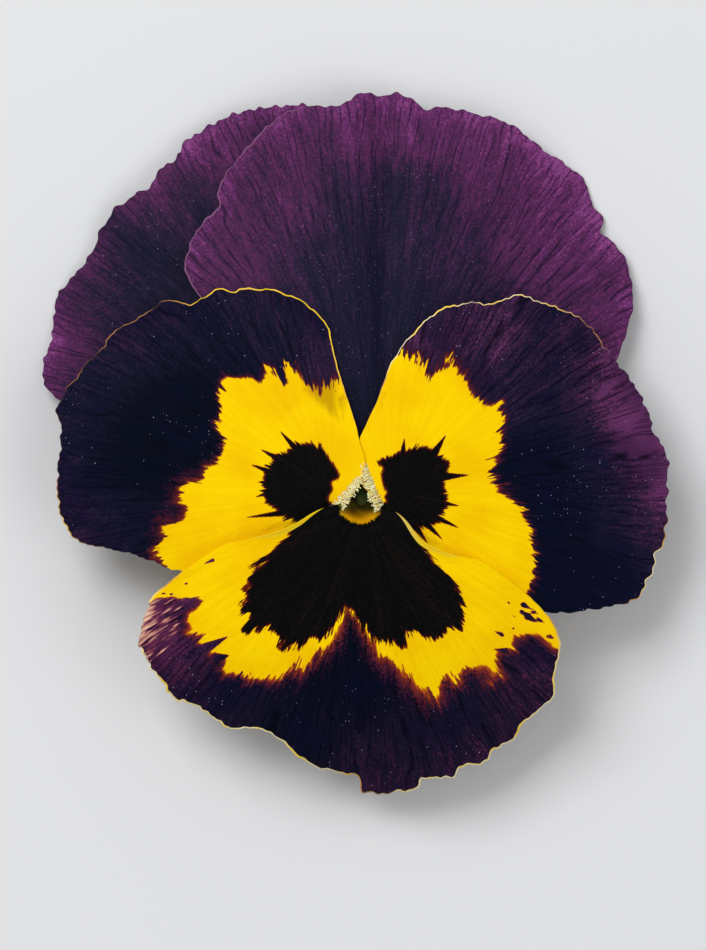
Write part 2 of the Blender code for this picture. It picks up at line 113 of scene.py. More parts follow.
# %% Pale surface and soft light
SKY = 0.45
SOFT_BOXES = (("key_soft_box", (-0.35, 0.45, 0.75), 0.5, 5.2), ("fill_soft_box", (0.6, -0.3, 0.7), 0.7, 1.8))
AIM = (0.0, 0.005, 0.01)


def deselect():
    bpy.ops.object.select_all(action="DESELECT")


def lay_surface():
    """A large plain sheet under the flower."""
    deselect()
    bpy.ops.mesh.primitive_plane_add(size=1.6, location=(0, 0, 0))
    floor = bpy.context.object
    floor.name = "pale_surface"
    material, tree, shader = new_finish("pale_surface", 0.9, specular=0.2)
    shader["Base Color"].default_value = tone(226, 227, 229)
    floor.data.materials.append(material)


def hang_light(name, place, size, power):
    """A square soft box that faces the flower."""
    data = bpy.data.lights.new(name, "AREA")
    data.shape = "SQUARE"
    data.size = size
    data.energy = power
    lamp = add_object(name, data)
    lamp.location = place
    away = np.array(place) - np.array(AIM)
    level = math.hypot(away[0], away[1])
    lamp.rotation_euler = (math.atan2(level, away[2]), 0.0, math.atan2(away[1], away[0]) + math.pi / 2)


def light_sky():
    world = bpy.data.worlds.new("soft_room")
    world.use_nodes = True
    background = world.node_tree.nodes["Background"]
    background.inputs["Color"].default_value = (1.0, 1.0, 1.0, 1.0)
    background.inputs["Strength"].default_value = SKY
    bpy.context.scene.world = world


lay_surface()
light_sky()
for box in SOFT_BOXES:
    hang_light(*box)
print("surface, sky and", len(SOFT_BOXES), "soft boxes")

# %% [markdown]
# ## Curves that the petals share
#
# A petal is a thin blade on a narrow claw. Seen from above it is a closed outline, so each blade is built
# as a fan: rays run from the claw to the outline. The outlines hold only the points that the margin turns
# at. A smooth closed curve joins them, and a fine seeded ripple gives the margin its small scallops. The
# height of a blade is a formula in its plan position, the same one as in the plain solid, so the two lie
# together.

# %% Smooth closed curves
RAYS = 600
RIPPLES = ((3.0, 0.06), (1.6, 0.045), (1.0, 0.03))    # width and depth of the margin's scallops


def closed_curve(points, count):
    """Points on a smooth closed curve through the given ones, spread by the roots of their spacing."""
    p = np.array(points, dtype=float)
    n = len(p)
    step = np.linalg.norm(np.roll(p, -1, axis=0) - p, axis=1)
    along = np.concatenate([[0.0], np.cumsum(np.sqrt(step * step.mean()))])
    s = np.linspace(0.0, along[-1], count, endpoint=False)
    i = np.clip(np.searchsorted(along, s, side="right") - 1, 0, n - 1)
    t = ((s - along[i]) / (along[i + 1] - along[i]))[:, None]
    a, b, c, d = (p[(i + k) % n] for k in (-1, 0, 1, 2))
    return (2 * b + (c - a) * t + (2 * a - 5 * b + 4 * c - d) * t * t + (3 * b - a - 3 * c + d) * t ** 3) / 2


def smooth_step(low, high, value):
    t = np.clip((value - low) / (high - low), 0.0, 1.0)
    return t * t * (3.0 - 2.0 * t)


def way_along(path):
    """The distance from a path's first point to each of its points."""
    return np.concatenate([[0.0], np.cumsum(np.linalg.norm(np.diff(path, axis=0), axis=1))])


def margin_curve(points):
    """A smooth closed curve through the points with one point for each ray, at equal distances."""
    curve = closed_curve(points, 1600)
    ring = np.vstack([curve, curve[:1]])
    along = way_along(ring)
    s = np.linspace(0.0, along[-1], RAYS, endpoint=False)
    return np.column_stack([np.interp(s, along, ring[:, k]) for k in (0, 1)])


def ripple(curve, seed):
    """A closed wavy line in millimetres: small scallops of mixed widths round a margin."""
    length = np.linalg.norm(np.roll(curve, -1, axis=0) - curve, axis=1).sum()
    rng = np.random.default_rng(seed)
    turn = np.linspace(0.0, 2 * math.pi, RAYS, endpoint=False)
    wobble = np.zeros(RAYS)
    for width, depth in RIPPLES:
        count = max(int(length / width), 3)
        for near in (-2, -1, 0, 1, 2):
            share = depth * rng.uniform(0.3, 1.0)
            wobble += share * np.sin((count + near) * turn + rng.uniform(0, 2 * math.pi))
    return wobble


print("each blade:", RAYS, "rays")

# %% Outlines of the five blades, in millimetres about the throat
UPPER_LEFT = (
    (-1.7, 4.9), (-4.2, 4.6), (-12, 5.6), (-22, 7.4), (-30, 9.6), (-34.5, 11.9), (-36.1, 13.5),
    (-36.5, 15.8), (-35.5, 19.1), (-35.2, 22.1), (-34.7, 24.2), (-33.3, 25.8), (-30.9, 28.8), (-30.1, 30.9),
    (-28.5, 33.5), (-27.1, 34.7), (-24, 36.7), (-22.9, 38.8), (-21.5, 39.1), (-20.4, 41.3), (-17.3, 43.4),
    (-13.9, 44.9), (-9, 45.6), (-4.6, 45.2), (-1.8, 40.5), (-0.2, 32), (-0.2, 21), (-0.2, 12), (-0.3, 6.4),
)
UPPER_RIGHT = (
    (1.7, 4.7), (4.4, 4.6), (11, 6.2), (20, 9.4), (26.4, 13), (29, 16.5), (30.4, 20.5), (31, 23.6),
    (30.2, 27.9), (28.7, 30), (27.3, 31.2), (27.6, 32.8), (26.2, 34.6), (25.6, 36.9), (23.5, 38.8),
    (20.7, 40.6), (18.4, 42.5), (16.3, 43.8), (13.7, 44.5), (9.6, 45.4), (7.1, 45.2), (6.1, 46.1),
    (4, 47.1), (2.6, 46.7), (-0.2, 47), (-2.5, 45.6), (-5.5, 45.5), (-8.8, 44.7), (-12, 42), (-15.6, 37.6),
    (-16.5, 35.5), (-16.3, 34.1), (-18.6, 31.6), (-19.9, 28.8), (-20.1, 26.5), (-18.4, 23.6), (-15, 19.6),
    (-9, 14.2), (-3.2, 9.4), (-0.1, 6.2),
)
LATERAL_LEFT = (
    (-1.5, 1.05), (-0.35, 2.1), (0.1, 3.8), (0.32, 5.1), (-0.3, 7.2), (-0.65, 8.9), (-1.6, 11.9),
    (-2.7, 15.4), (-3.6, 19.2), (-3.75, 20.2), (-6, 22.6), (-8.1, 23.8), (-10.4, 24.5), (-13.6, 24.6),
    (-14.7, 24.3), (-16.6, 24.5), (-19.3, 22.8), (-20.4, 23.1), (-22.7, 23.2), (-24.1, 22.1), (-28.7, 19.4),
    (-29.2, 18.1), (-31, 16.5), (-34.4, 11.9), (-34.6, 9.8), (-34.2, 8.2), (-34.7, 2.8), (-34.3, -1.1),
    (-32.5, -4), (-29.6, -4.8), (-25.7, -5.7), (-20.6, -7.6), (-16.6, -8), (-11.6, -6.3), (-7.4, -4.2),
    (-4.8, -1.6), (-3.2, -0.3),
)
LATERAL_RIGHT = (
    (1.5, 1), (2.95, -0.2), (4.6, -1.7), (7, -4.3), (11, -7.4), (16.2, -10.6), (21.2, -12.2), (26.1, -11.9),
    (31.2, -10.8), (32, -9.4), (33, -7.9), (33.5, -5.7), (34.5, -3.7), (34.7, 1.4), (34.8, 4.4), (34.6, 6),
    (33.2, 8.3), (32.5, 10.8), (30.7, 14.1), (28.5, 16.8), (26.8, 19.2), (25.6, 20.6), (23.6, 21.9),
    (19.2, 23.5), (17.6, 24), (16.5, 23.5), (14.5, 22.9), (12.3, 23), (9.3, 22.4), (7.4, 21.1), (5.6, 19.3),
    (4.1, 17.4), (2.9, 15.2), (1.9, 12.3), (0.5, 9.2), (-0.45, 7), (-0.5, 4.9), (0, 2.3),
)
LOWER = (
    (3.75, -0.75), (4.5, -1.3), (5.25, -2.1), (6, -3.15), (6.65, -3.9), (7.5, -4.5), (8.6, -5), (9.8, -5.5),
    (11.3, -5.85), (13.3, -6.3), (16.2, -8.1), (18.9, -10.3), (21.2, -12.7), (22.3, -14.7), (22.5, -16.7),
    (21.9, -19.1), (21.8, -21.7), (19.9, -23.5), (18, -25.3), (17.2, -26.8), (15, -27.8), (14.2, -29.2),
    (11.3, -29.9), (10.1, -31.1), (7.1, -31.1), (6.4, -32.2), (3.9, -32.8), (0.7, -32.9), (-0.1, -32.5),
    (-0.5, -31), (-3.5, -30.3), (-5.7, -29.6), (-7.7, -28.3), (-9.4, -26.6), (-12, -25.4), (-15.1, -25.4),
    (-17.7, -23.6), (-20.1, -22.3), (-21.2, -22.3), (-22.5, -20.4), (-23.5, -19.2), (-25.3, -15.7),
    (-24.5, -12.3), (-23.7, -10.3), (-20.3, -7.5), (-18.1, -6), (-15.9, -4.6), (-14.2, -4.1),
    (-12.7, -3.75), (-10.75, -3.35), (-9.7, -3.05), (-8.5, -2.6), (-7.7, -2.2), (-6.8, -1.7), (-6, -1.15),
    (-5.1, -0.65), (-4.4, -0.35),
)
THROAT = (0.0, 0.1)
HEARTS = {
    "upper_left": (-1.7, 6.3), "upper_right": (1.7, 6.3), "lateral_left": (-3.3, 1.6),
    "lateral_right": (3.3, 1.6), "lower": THROAT,
}
print("outlines of", len(HEARTS), "blades")


# %% Heights of the five blades
def ruffle(x, y, v, turns, start, size):
    """Waves that grow towards a free margin and leave the heart of the petal smooth."""
    return size * v ** 4 * np.sin(turns * np.arctan2(y, x) + start) * smooth_step(16.0, 28.0, np.hypot(x, y))


def frill(x, y, v, seed, size):
    """Small folds right at the margin, with seeded turns, finer than the ruffles."""
    rng = np.random.default_rng(seed)
    turn = np.arctan2(y, x)
    fold = np.zeros_like(x)
    for count in (17, 23, 31, 41):
        fold += rng.uniform(0.4, 1.0) * np.sin(count * turn + rng.uniform(0, 2 * math.pi))
    return size * fold * v ** 10 * smooth_step(10.0, 20.0, np.hypot(x, y))


def height_upper_left(x, y, v):
    fall = 0.0067 * x * x + 0.0040 * y * y
    wave = ruffle(x, y, v, 9.0, 0.6, 0.6) * smooth_step(14.0, 26.0, -x)
    return 11.2 - fall + wave + frill(x, y, v, 11, 0.08)


def height_upper_right(x, y, v):
    """The only blade with a crease: it runs up the middle."""
    fall = np.where(x > 0.0, 0.0096, 0.0062) * x * x + 0.0041 * y * y
    crease = np.exp(-((x - 2.8) / 1.9) ** 2) * smooth_step(10.0, 22.0, y) * (1.0 - 0.5 * v ** 6)
    left = 0.2 * smooth_step(8.0, 18.0, -x)
    wave = ruffle(x, y, v, 12.0, 0.0, 0.8) * smooth_step(-8.0, 6.0, x)
    return 12.9 - fall - crease + left + wave + frill(x, y, v, 12, 0.10)


def height_lateral_left(x, y, v):
    """This blade laps over its right neighbour above the throat, so it rises a little there."""
    over = 0.3 * np.exp(-(((x + 0.2) / 5.0) ** 2 + ((y - 5.0) / 6.0) ** 2))
    wave = ruffle(x, y, v, 9.0, 0.0, 0.7) * smooth_step(10.0, 24.0, -x)
    return 14.0 - 0.0045 * (x * x + y * y) + over + wave + frill(x, y, v, 13, 0.08)


def height_lateral_right(x, y, v):
    wave = ruffle(x, y, v, 9.0, 0.9, 0.8) * smooth_step(10.0, 24.0, x)
    return 13.9 - 0.0043 * (x * x + y * y) + wave + frill(x, y, v, 14, 0.08)


def height_lower(x, y, v):
    """The frontmost blade dips into the throat."""
    r = np.hypot(x - THROAT[0], y - THROAT[1])
    fall = 0.0043 * (x * x + y * y) + 0.014 * np.maximum(-y - 14.0, 0.0) ** 2
    dip = 4.3 * np.exp(-np.maximum(r - 1.1, 0.0) ** 2)
    wave = ruffle(x, y, v, 9.0, 0.4, 0.9) * smooth_step(12.0, 24.0, -y)
    return 15.3 - fall - dip + wave + frill(x, y, v, 15, 0.09)


print("throat of the lower petal lies at", round(float(height_lower(0.0, -1.0, 0.0)), 1), "mm")

# %% [markdown]
# ## Marks as distances
#
# The violet, gold and black of a pansy meet along feathered lines. Each mark starts as a drawn outline
# of a few points. Every vertex of the blade then keeps its distance to that outline, positive inside it, as
# an attribute. Listed values say how light the violet is, how strong the rim shows, how wide the
# pigment fades and how long its feathers are. The finish reads them all. There fine noise that is drawn out
# along the rays breaks each line into feathers far narrower than the mesh. Each helper below returns a
# function of x and y, which the blade calls with its own points.

# %% Distances to outlines and streaks
def signed_distance(x, y, outline):
    """Millimetres from each point to a closed outline, positive inside."""
    near = np.full(x.shape, 1e9)
    inside = np.zeros(x.shape, dtype=bool)
    for (ax, ay), (bx, by) in zip(outline, np.roll(outline, -1, axis=0)):
        dx, dy = bx - ax, by - ay
        t = np.clip(((x - ax) * dx + (y - ay) * dy) / (dx * dx + dy * dy + 1e-12), 0.0, 1.0)
        near = np.minimum(near, np.hypot(x - ax - t * dx, y - ay - t * dy))
        if abs(dy) > 1e-9:
            inside ^= ((ay > y) != (by > y)) & (x < dx * (y - ay) / dy + ax)
    return np.where(inside, near, -near)


def field(points, count):
    """The distance to the smooth closed curve through a mark's points."""
    return lambda x, y: signed_distance(x, y, closed_curve(points, count))


def streaks(marks):
    """The same for whiskers (root, tip, width) that taper from root to tip; the greatest one counts."""
    def greatest(x, y):
        best = np.full(x.shape, -1e9)
        for root, tip, width in marks:
            dx, dy = tip[0] - root[0], tip[1] - root[1]
            t = np.clip(((x - root[0]) * dx + (y - root[1]) * dy) / (dx * dx + dy * dy), 0.0, 1.0)
            away = np.hypot(x - root[0] - t * dx, y - root[1] - t * dy)
            best = np.maximum(best, width * (1.0 - t) - away)
        return best
    return greatest


def blend(marks, spread, column=2):
    """A soft blend of given values, each felt most near its own place."""
    def value(x, y):
        total = np.zeros_like(x)
        weight = np.full(x.shape, 1e-6)
        for mark in marks:
            w = np.exp(-((x - mark[0]) ** 2 + (y - mark[1]) ** 2) / (2 * spread ** 2))
            total += w * mark[column]
            weight += w
        return total / weight
    return value


print("distance helpers ready")

# %% Outlines of the marks, in millimetres about the throat
GOLD_LEFT = (
    (-2.3, 14), (-4.8, 12.8), (-6.4, 13.7), (-8.1, 16.2), (-9, 14.4), (-10.6, 15.6), (-11.3, 14.2),
    (-12.5, 14.4), (-15, 14.4), (-16.2, 14), (-16.1, 12.6), (-16.2, 10.5), (-16, 7.5), (-15.8, 6.3),
    (-16.5, 4.9), (-17.8, 4.2), (-18.2, 3), (-19.7, 2.7), (-20.8, 1), (-20, -0.2), (-20.6, -1.6),
    (-22.4, -2.3), (-22.7, -4.4), (-23.4, -5.5), (-22.7, -6.6), (-20, -11), (-2, -8), (2, 2), (1.5, 14),
)
GOLD_RIGHT = (
    (4.9, 17.7), (6.4, 17.2), (6.7, 15), (7.6, 14.7), (9.6, 15.7), (9.8, 16.5), (10.8, 15.7), (11.1, 14.7),
    (12, 13.5), (13.3, 11.8), (15.7, 11.8), (15.6, 10.8), (16.1, 8.8), (15.7, 6.4), (14.8, 4.6),
    (14.8, 2.4), (16.2, 1.2), (17.7, -0.1), (18.9, -2.3), (19.4, -4.5), (19.7, -6.2), (18.9, -9.4),
    (17, -14), (2, -10), (-2, 2), (-1.5, 14), (1.5, 19.5),
)
GOLD_LOWER = (
    (-25.5, -11.6), (-24, -11.2), (-22.9, -10.6), (-18.5, -10.7), (-19.2, -11.8), (-19.8, -12.5),
    (-19.4, -13.8), (-19.8, -14.6), (-18.1, -14.6), (-18.3, -15.5), (-17.2, -16.6), (-15.5, -17.3),
    (-15.7, -19), (-13.3, -19.2), (-11.1, -19.6), (-9.8, -19.6), (-7.9, -18.6), (-6.8, -18.3),
    (-5.5, -17.3), (-3.7, -15.5), (-2.2, -12.9), (-1.8, -11.6), (-0.9, -12.5), (0.6, -14.6), (1.9, -16.6),
    (2.4, -17.2), (4.6, -18.6), (6.4, -20.4), (8.6, -21.6), (9.6, -19.1), (10.8, -20.1), (12, -18.4),
    (14, -18.4), (15.2, -19.6), (15.2, -17.2), (16.7, -15.9), (17.2, -15), (19.7, -14.7), (21.2, -15.7),
    (22.1, -16.4), (25, -16.6), (24, -8), (9, 2), (-9, 2), (-26, -6),
)
BLOT_LEFT = (
    (-2.7, -1.2), (-3.1, -0.1), (-3.8, 0.45), (-3.75, 1.05), (-3.35, 1.8), (-3.5, 2.6), (-2.65, 3.3),
    (-3.4, 4.9), (-4.5, 6.3), (-6.7, 7), (-8.4, 6.1), (-9.7, 5.4), (-10.4, 4.7), (-11.1, 3.3), (-11.3, 1.9),
    (-10.7, 0.3), (-9.7, -0.6), (-9.2, -1.2), (-7.8, -2), (-6, -4), (-4, -2.5),
)
BLOT_RIGHT = (
    (1.9, -0.8), (2.2, 0), (2.8, 0.4), (2.6, 0.95), (2.85, 1.45), (2.5, 2.1), (2.25, 3.4), (2.4, 4.2),
    (1.85, 4.9), (3.4, 5.6), (5.6, 6.4), (7.4, 6.5), (8.3, 5.9), (9.3, 5.4), (9.8, 4.6), (9.3, 2.2),
    (9.6, 0.7), (9.3, -0.8), (8.3, -2), (5.6, -2.8), (4.1, -2.2),
)
BLOT_LOWER = (
    (-8.5, -3.6), (-9.6, -4.5), (-11.1, -6.6), (-12.2, -7.3), (-12.7, -9), (-13.5, -9.6), (-13.1, -10.5),
    (-13.9, -11.8), (-12.9, -12.5), (-13.5, -14), (-12.5, -14.4), (-10.7, -13.6), (-10.1, -14.6),
    (-9, -15.1), (-9.2, -16.6), (-7.7, -16.2), (-6.1, -15.1), (-4.6, -15.1), (-3.7, -14.2), (-2.2, -12.5),
    (-1.8, -11.4), (-0.8, -12.5), (0, -14), (1.2, -15.4), (3.4, -15.7), (4.9, -16.4), (5.4, -14.7),
    (7.9, -15.2), (9.8, -14.2), (11.3, -14), (11.5, -11.7), (11.1, -10), (10.3, -8.5), (8.6, -6.6),
    (7.4, -5.3), (6, -2.5), (4.5, 1.5), (0, 3), (-5.5, 1.5), (-7.5, -1.5),
)
WHISKERS_LEFT = (
    ((-7, 5.8), (-9.3, 8.4), 0.46), ((-9, 5), (-11.5, 6.3), 0.42), ((-10, 3.6), (-12.6, 4.6), 0.38),
    ((-9, -0.9), (-13, -1.4), 0.34), ((-5, 5.6), (-4.6, 7.2), 0.34), ((-10.6, 1.4), (-12, 0.9), 0.26),
)
WHISKERS_RIGHT = (
    ((4.6, 5.6), (4.8, 7.5), 0.38), ((8, 5.6), (9.5, 7.9), 0.5), ((9, 3.2), (12.1, 3.4), 0.5),
    ((8.4, -1.4), (11, -2.6), 0.34), ((7.4, -2.2), (9.1, -3.9), 0.34), ((6.2, -2.6), (7.4, -4.3), 0.34),
    ((9.3, 0.2), (11, -0.1), 0.26),
)
# Streaks (root, tip, width) of painted shade in the gold, along folds and above the rolled strip.
FOLD_SHADE_LEFT = (
    ((-4.6, 13.6), (-2.2, 8.6), 2.4), ((-2.4, 12), (-2, 8.4), 1.1), ((-5, -1.2), (-17, -4.3), 1.1),
)
FOLD_SHADE_RIGHT = (((2.6, 12.6), (1.2, 9), 0.6), ((5.4, -3), (14, -6.6), 0.9))
SPOTS = (
    ((18.3, -11.3), (19.3, -11.9), 0.34), ((18.1, -12.1), (19.1, -12.75), 0.27),
    ((18.8, -12.6), (19.9, -13.4), 0.47), ((19.5, -12.1), (20.1, -12.5), 0.24),
    ((20, -13), (20.8, -13.4), 0.27), ((21.2, -14.9), (22, -15.2), 0.28),
    ((16.6, -11.1), (16.9, -11.2), 0.2), ((17.2, -12.55), (17.5, -12.7), 0.18),
    ((17.1, -14), (17.4, -14.1), 0.18), ((-16.9, -6.25), (-18.2, -6.75), 0.2),
    ((-19.9, -8.9), (-20.3, -9), 0.16), ((-21.6, -10.1), (-22, -10.2), 0.17),
    ((-22.4, -10), (-22.9, -10.1), 0.16), ((-18.4, -16.6), (-15, -14.8), 0.8),
    ((-16.6, -17.4), (-14.9, -17), 0.7), ((-20, -10.9), (-18.2, -10.7), 0.44),
    ((15.9, -14.7), (15, -14.3), 0.28), ((16.4, -16.6), (14.7, -16.3), 0.44),
)
THROAT_PATCH = (
    (-2.5, -0.5), (-2.45, -1.1), (-1.95, -1.5), (-1.4, -1.95), (-0.7, -2.1), (0, -2.3), (0.7, -2.05),
    (1.3, -1.75), (1.85, -1.3), (2.15, -0.75), (2.2, -0.1), (2, 0.5), (-2.3, 0.5),
)
print("marks:", len(GOLD_LOWER) + len(GOLD_LEFT) + len(GOLD_RIGHT), "points on the gold lines")

# %% Listed values: (x, y, value), and for the fringes (x, y, fade, fray)
RIM_UPPER_RIGHT = ((-18.6, 31.6, 0.9), (-12, 42, 0.8), (-2.5, 45.6, 0.3), (10, 45, 0.15), (28, 30, 0.1))
RIM_UPPER_LEFT = ((-30, 31, 0.1), (-14, 45, 0.1))
RIM_LEFT = (
    (-0.4, 5, 0.1), (-0.6, 9, 0.35), (-2.7, 15.4, 0.7), (-3.6, 20, 0.9), (-6, 22.6, 1), (-10.4, 24.5, 1),
    (-16.6, 24.5, 0.8), (-20.4, 23.1, 0.6), (-24.1, 22.1, 0.4), (-28.7, 19.4, 0.5), (-31, 16.5, 0.5),
    (-33.5, 13.2, 0.42), (-34.6, 10, 0.2), (-34.7, 6, 0.35), (-34.7, 2.8, 0.5), (-34.3, -1.1, 0.7),
    (-32.5, -4, 0.7), (-29.6, -4.8, 0.2), (-25.7, -5.7, 0.05), (-20.6, -7.6, 0.05),
)
RIM_RIGHT = (
    (0, 7, 0.2), (1.9, 12.3, 0.5), (4.1, 17.4, 0.8), (9.3, 22.4, 0.75), (14.5, 22.9, 0.6), (17.6, 24, 0.75),
    (23.6, 21.9, 0.6), (27.6, 18.2, 0.5), (30, 15.2, 0.1), (32.5, 10.8, 0), (34.8, 4.4, 0),
    (34.7, 1.2, 0.05), (34.6, -2.4, 0.6), (33, -7.9, 0.85), (31.2, -10.8, 0.8), (28.6, -11.4, 0.1),
    (26.1, -11.9, 0), (21.2, -12.2, 0),
)
RIM_LOWER = (
    (-9, -3, 0), (-5, -0.5, 0), (0, 1.5, 0), (4, -0.5, 0), (7, -4, 0), (10, -5.5, 0), (-12, -3.7, 0),
    (-15, -4.4, 0.05), (-18, -6, 0.15), (-21.5, -8.5, 0.5), (-24.5, -12.3, 0.9), (-25.3, -15.7, 0.9),
    (-22.5, -20.4, 0.8), (-17.7, -23.6, 0.8), (-12, -25.4, 0.9), (-7.7, -28.3, 0.9), (-3.5, -30.3, 0.7),
    (0.7, -32.9, 0.5), (6.4, -32.2, 0.8), (11.3, -29.9, 0.8), (15, -27.8, 0.9), (18, -25.3, 0.8),
    (21.8, -21.7, 0.8), (22.4, -16, 0.8), (21, -12.5, 0.4), (17.5, -9, 0.1), (13.3, -6.3, 0),
)
LIFT_UPPER_RIGHT = (
    (0, 8, 0.16), (2.8, 20, 0.22), (2.8, 34, 0.32), (2.8, 45, 0.7), (-3, 25, 0.36), (-5, 38, 0.62),
    (-4, 45, 0.74), (-14, 28, 0.66), (-18.5, 27, 0.6), (-12, 38, 0.68), (-8, 18, 0.5), (-10, 43.5, 0.76),
    (10, 20, 0.42), (8, 32, 0.5), (8.5, 43.5, 0.79), (16, 36, 0.64), (21, 40, 0.86), (22, 30, 0.66),
    (26, 34.5, 0.9), (28, 25, 0.7), (20, 18, 0.56), (27, 16, 0.66), (30.5, 22, 0.8),
)
LIFT_UPPER_LEFT = (
    (-30, 14, 0.5), (-35.5, 16, 0.8), (-33.5, 22, 0.68), (-27, 22, 0.26), (-26, 30, 0.3), (-31, 29, 0.62),
    (-24.5, 36, 0.7), (-20, 34, 0.38), (-20.5, 41, 0.76), (-14, 44.5, 0.86), (-14, 41, 0.62),
    (-22, 25, 0.3),
)
LIFT_LEFT = (
    (-3, 17, 0.95), (-6.5, 19, 0.84), (-10, 23.2, 0.92), (-12.5, 18.5, 0.66), (-16.5, 22.5, 0.9),
    (-17.5, 18, 0.64), (-22, 20.5, 0.9), (-24, 16, 0.8), (-20, 12, 0.25), (-27.5, 17, 0.93),
    (-29.5, 11, 0.7), (-32.5, 9, 0.98), (-24, 7, 0), (-29, 5, 0.4), (-33.6, 3.5, 1), (-20.5, 5, 0.4),
    (-25, 1, 0.7), (-31, -1, 0.84), (-33.3, -2, 0.98), (-26.5, -3, 0.8), (-23.5, -4.5, 0.7), (-5, 15, 0.88),
)
LIFT_RIGHT = (
    (6, 19, 0.86), (10, 20, 0.86), (16, 22, 0.88), (16, 16, 0.82), (22, 14, 0.72), (24, 20, 0.8),
    (29.5, 14, 1.06), (32.5, 8, 1.25), (34, 2, 1.2), (27, 5, 0.7), (22, 4, 0.4), (24, -4, 0.4),
    (30, -2, 0.7), (33, -6, 0.76), (28, -9.5, 0.5), (22, -9, 0.35),
)
LIFT_LOWER = (
    (0, -14, 0.5), (0, -20, 0.42), (0, -28, 0.76), (3, -31.5, 0.92), (10, -24, 0.66), (12, -28.5, 0.9),
    (17, -21, 0.88), (20.5, -18, 0.96), (-8, -22, 0.5), (-8, -26, 0.62), (-14, -22, 0.68), (-18, -18, 0.78),
    (-22.5, -15, 1.1), (-23, -18, 1.02), (-19, -21.5, 0.92), (6, -28.5, 0.78), (18, -13, 0.7),
)
PALE_LOWER = (
    (-24.6, -12.6, 1), (-25, -14.6, 1), (-22.4, -11.2, 0.6), (-22.8, -13.2, 0.6), (-23, -15, 0.45),
    (-21, -11, 0.25), (-20.6, -13, 0.2), (-21, -15.6, 0.2), (-24.4, -17.6, 0.3), (-22.5, -19, 0.1),
    (-18, -13, 0), (-19, -18, 0.05), (-16, -20, 0), (-24, -10, 0.6),
)
FRINGE_LEFT = (
    (-3, 13.5, 0.9, 1), (-8, 16, 0.8, 1.15), (-12, 14.6, 0.7, 0.8), (-16, 12, 0.6, 0.55),
    (-16, 7, 0.6, 0.5), (-18, 3.5, 1.3, 0.7), (-20.5, 0, 2.1, 0.75), (-23, -4.5, 2, 1),
)
FRINGE_RIGHT = (
    (6, 16.8, 0.9, 1), (10, 15.8, 1.3, 1.1), (14, 12, 1.1, 0.7), (16, 8.5, 0.7, 0.6), (15, 3.5, 1, 0.8),
    (18, -1, 0.7, 0.8), (19.5, -6, 0.7, 0.9),
)
FRINGE_LOWER = (
    (-0.9, -12, 2, 0.8), (-3, -15, 2.2, 0.9), (-8, -19.3, 1.7, 1), (-12.5, -19.4, 1, 0.9),
    (-16, -17.5, 1.3, 0.8), (-19.5, -14, 1, 0.7), (-21, -11, 0.7, 0.6), (3.5, -17.8, 2.4, 0.9),
    (8, -21, 2.4, 1), (11.5, -19.3, 2.2, 1), (15.5, -18, 2, 0.9), (19, -15.2, 1.6, 0.8),
    (22, -16.4, 1.2, 0.8), (18.5, -12.2, 0.5, 0.5),
)
LIFT_SPREAD = 3.6
UPPER_RIM_SPREAD = 5.0
NEAR_SPREAD = 2.5
print("values placed for the lower petal's lightness:", len(LIFT_LOWER))


def colour_marks(rim, lift, gold, gold_count, blot, blot_count, whiskers, fringe):
    """What the lateral and lower petals keep for their finish."""
    return {
        "rim": blend(rim, NEAR_SPREAD), "lift": blend(lift, LIFT_SPREAD), "gold": field(gold, gold_count),
        "blot": field(blot, blot_count), "whisker": streaks(whiskers),
        "fade": blend(fringe, NEAR_SPREAD), "fray": blend(fringe, NEAR_SPREAD, 3),
    }


def upper_marks(rim, lift):
    return {"rim": blend(rim, UPPER_RIM_SPREAD), "lift": blend(lift, LIFT_SPREAD)}


# %% [markdown]
# ## Blades from a rolled-up grid
#
# A flat grid is a good start for a fan: its columns become rays and its rows become rings. The rolled grid
# meets itself along one ray, where the doubled vertices are merged, and its first row closes at the heart.
# A Solidify modifier then gives the sheet its thickness, with less of it towards the margin.

# %% Blade helpers
def pick(*pieces):
    """Leaves only these pieces selected, with the first one active."""
    deselect()
    for piece in pieces:
        piece.select_set(True)
    bpy.context.view_layer.objects.active = pieces[0]


def smooth(piece):
    pick(piece)
    bpy.ops.object.shade_smooth()


def grid_sheet(name, columns, rows):
    """A unit grid, and for each vertex its share of the way across and up."""
    deselect()
    bpy.ops.mesh.primitive_grid_add(x_subdivisions=columns, y_subdivisions=rows, size=1.0)
    sheet = bpy.context.object
    sheet.name = name
    sheet.data.name = name
    flat = np.empty(len(sheet.data.vertices) * 3)
    sheet.data.vertices.foreach_get("co", flat)
    flat = flat.reshape(-1, 3) + 0.5
    return sheet, flat[:, 0], flat[:, 1]


def set_points(piece, points):
    """Moves every vertex to its place, given in millimetres."""
    piece.data.vertices.foreach_set("co", (np.asarray(points) * MM).ravel())
    piece.data.update()


def keep(piece, name, values):
    """Stores one number for each vertex, for the finish to read."""
    layer = piece.data.attributes.new(name, "FLOAT", "POINT")
    layer.data.foreach_set("value", np.ascontiguousarray(values, dtype=np.float32))


def merge_and_face(piece, gap=0.0005):
    """Joins doubled vertices and turns the faces outwards."""
    pick(piece)
    bpy.ops.object.mode_set(mode="EDIT")
    bpy.ops.mesh.select_all(action="SELECT")
    bpy.ops.mesh.remove_doubles(threshold=gap * MM)
    bpy.ops.mesh.normals_make_consistent(inside=False)
    bpy.ops.object.mode_set(mode="OBJECT")


def thicken(piece, thickness, margin_share, values):
    """Gives a sheet its thickness in millimetres; values from 0 to 1 say how much of it each vertex gets."""
    group = piece.vertex_groups.new(name="thick")
    for step in range(21):
        share = step / 20
        chosen = np.nonzero(np.abs(values - share) <= 0.025)[0]
        if len(chosen):
            group.add(chosen.tolist(), share, "REPLACE")
    solid = piece.modifiers.new("thickness", "SOLIDIFY")
    solid.thickness = thickness * MM
    solid.offset = 0.0
    solid.vertex_group = "thick"
    solid.thickness_vertex_group = margin_share
    return solid


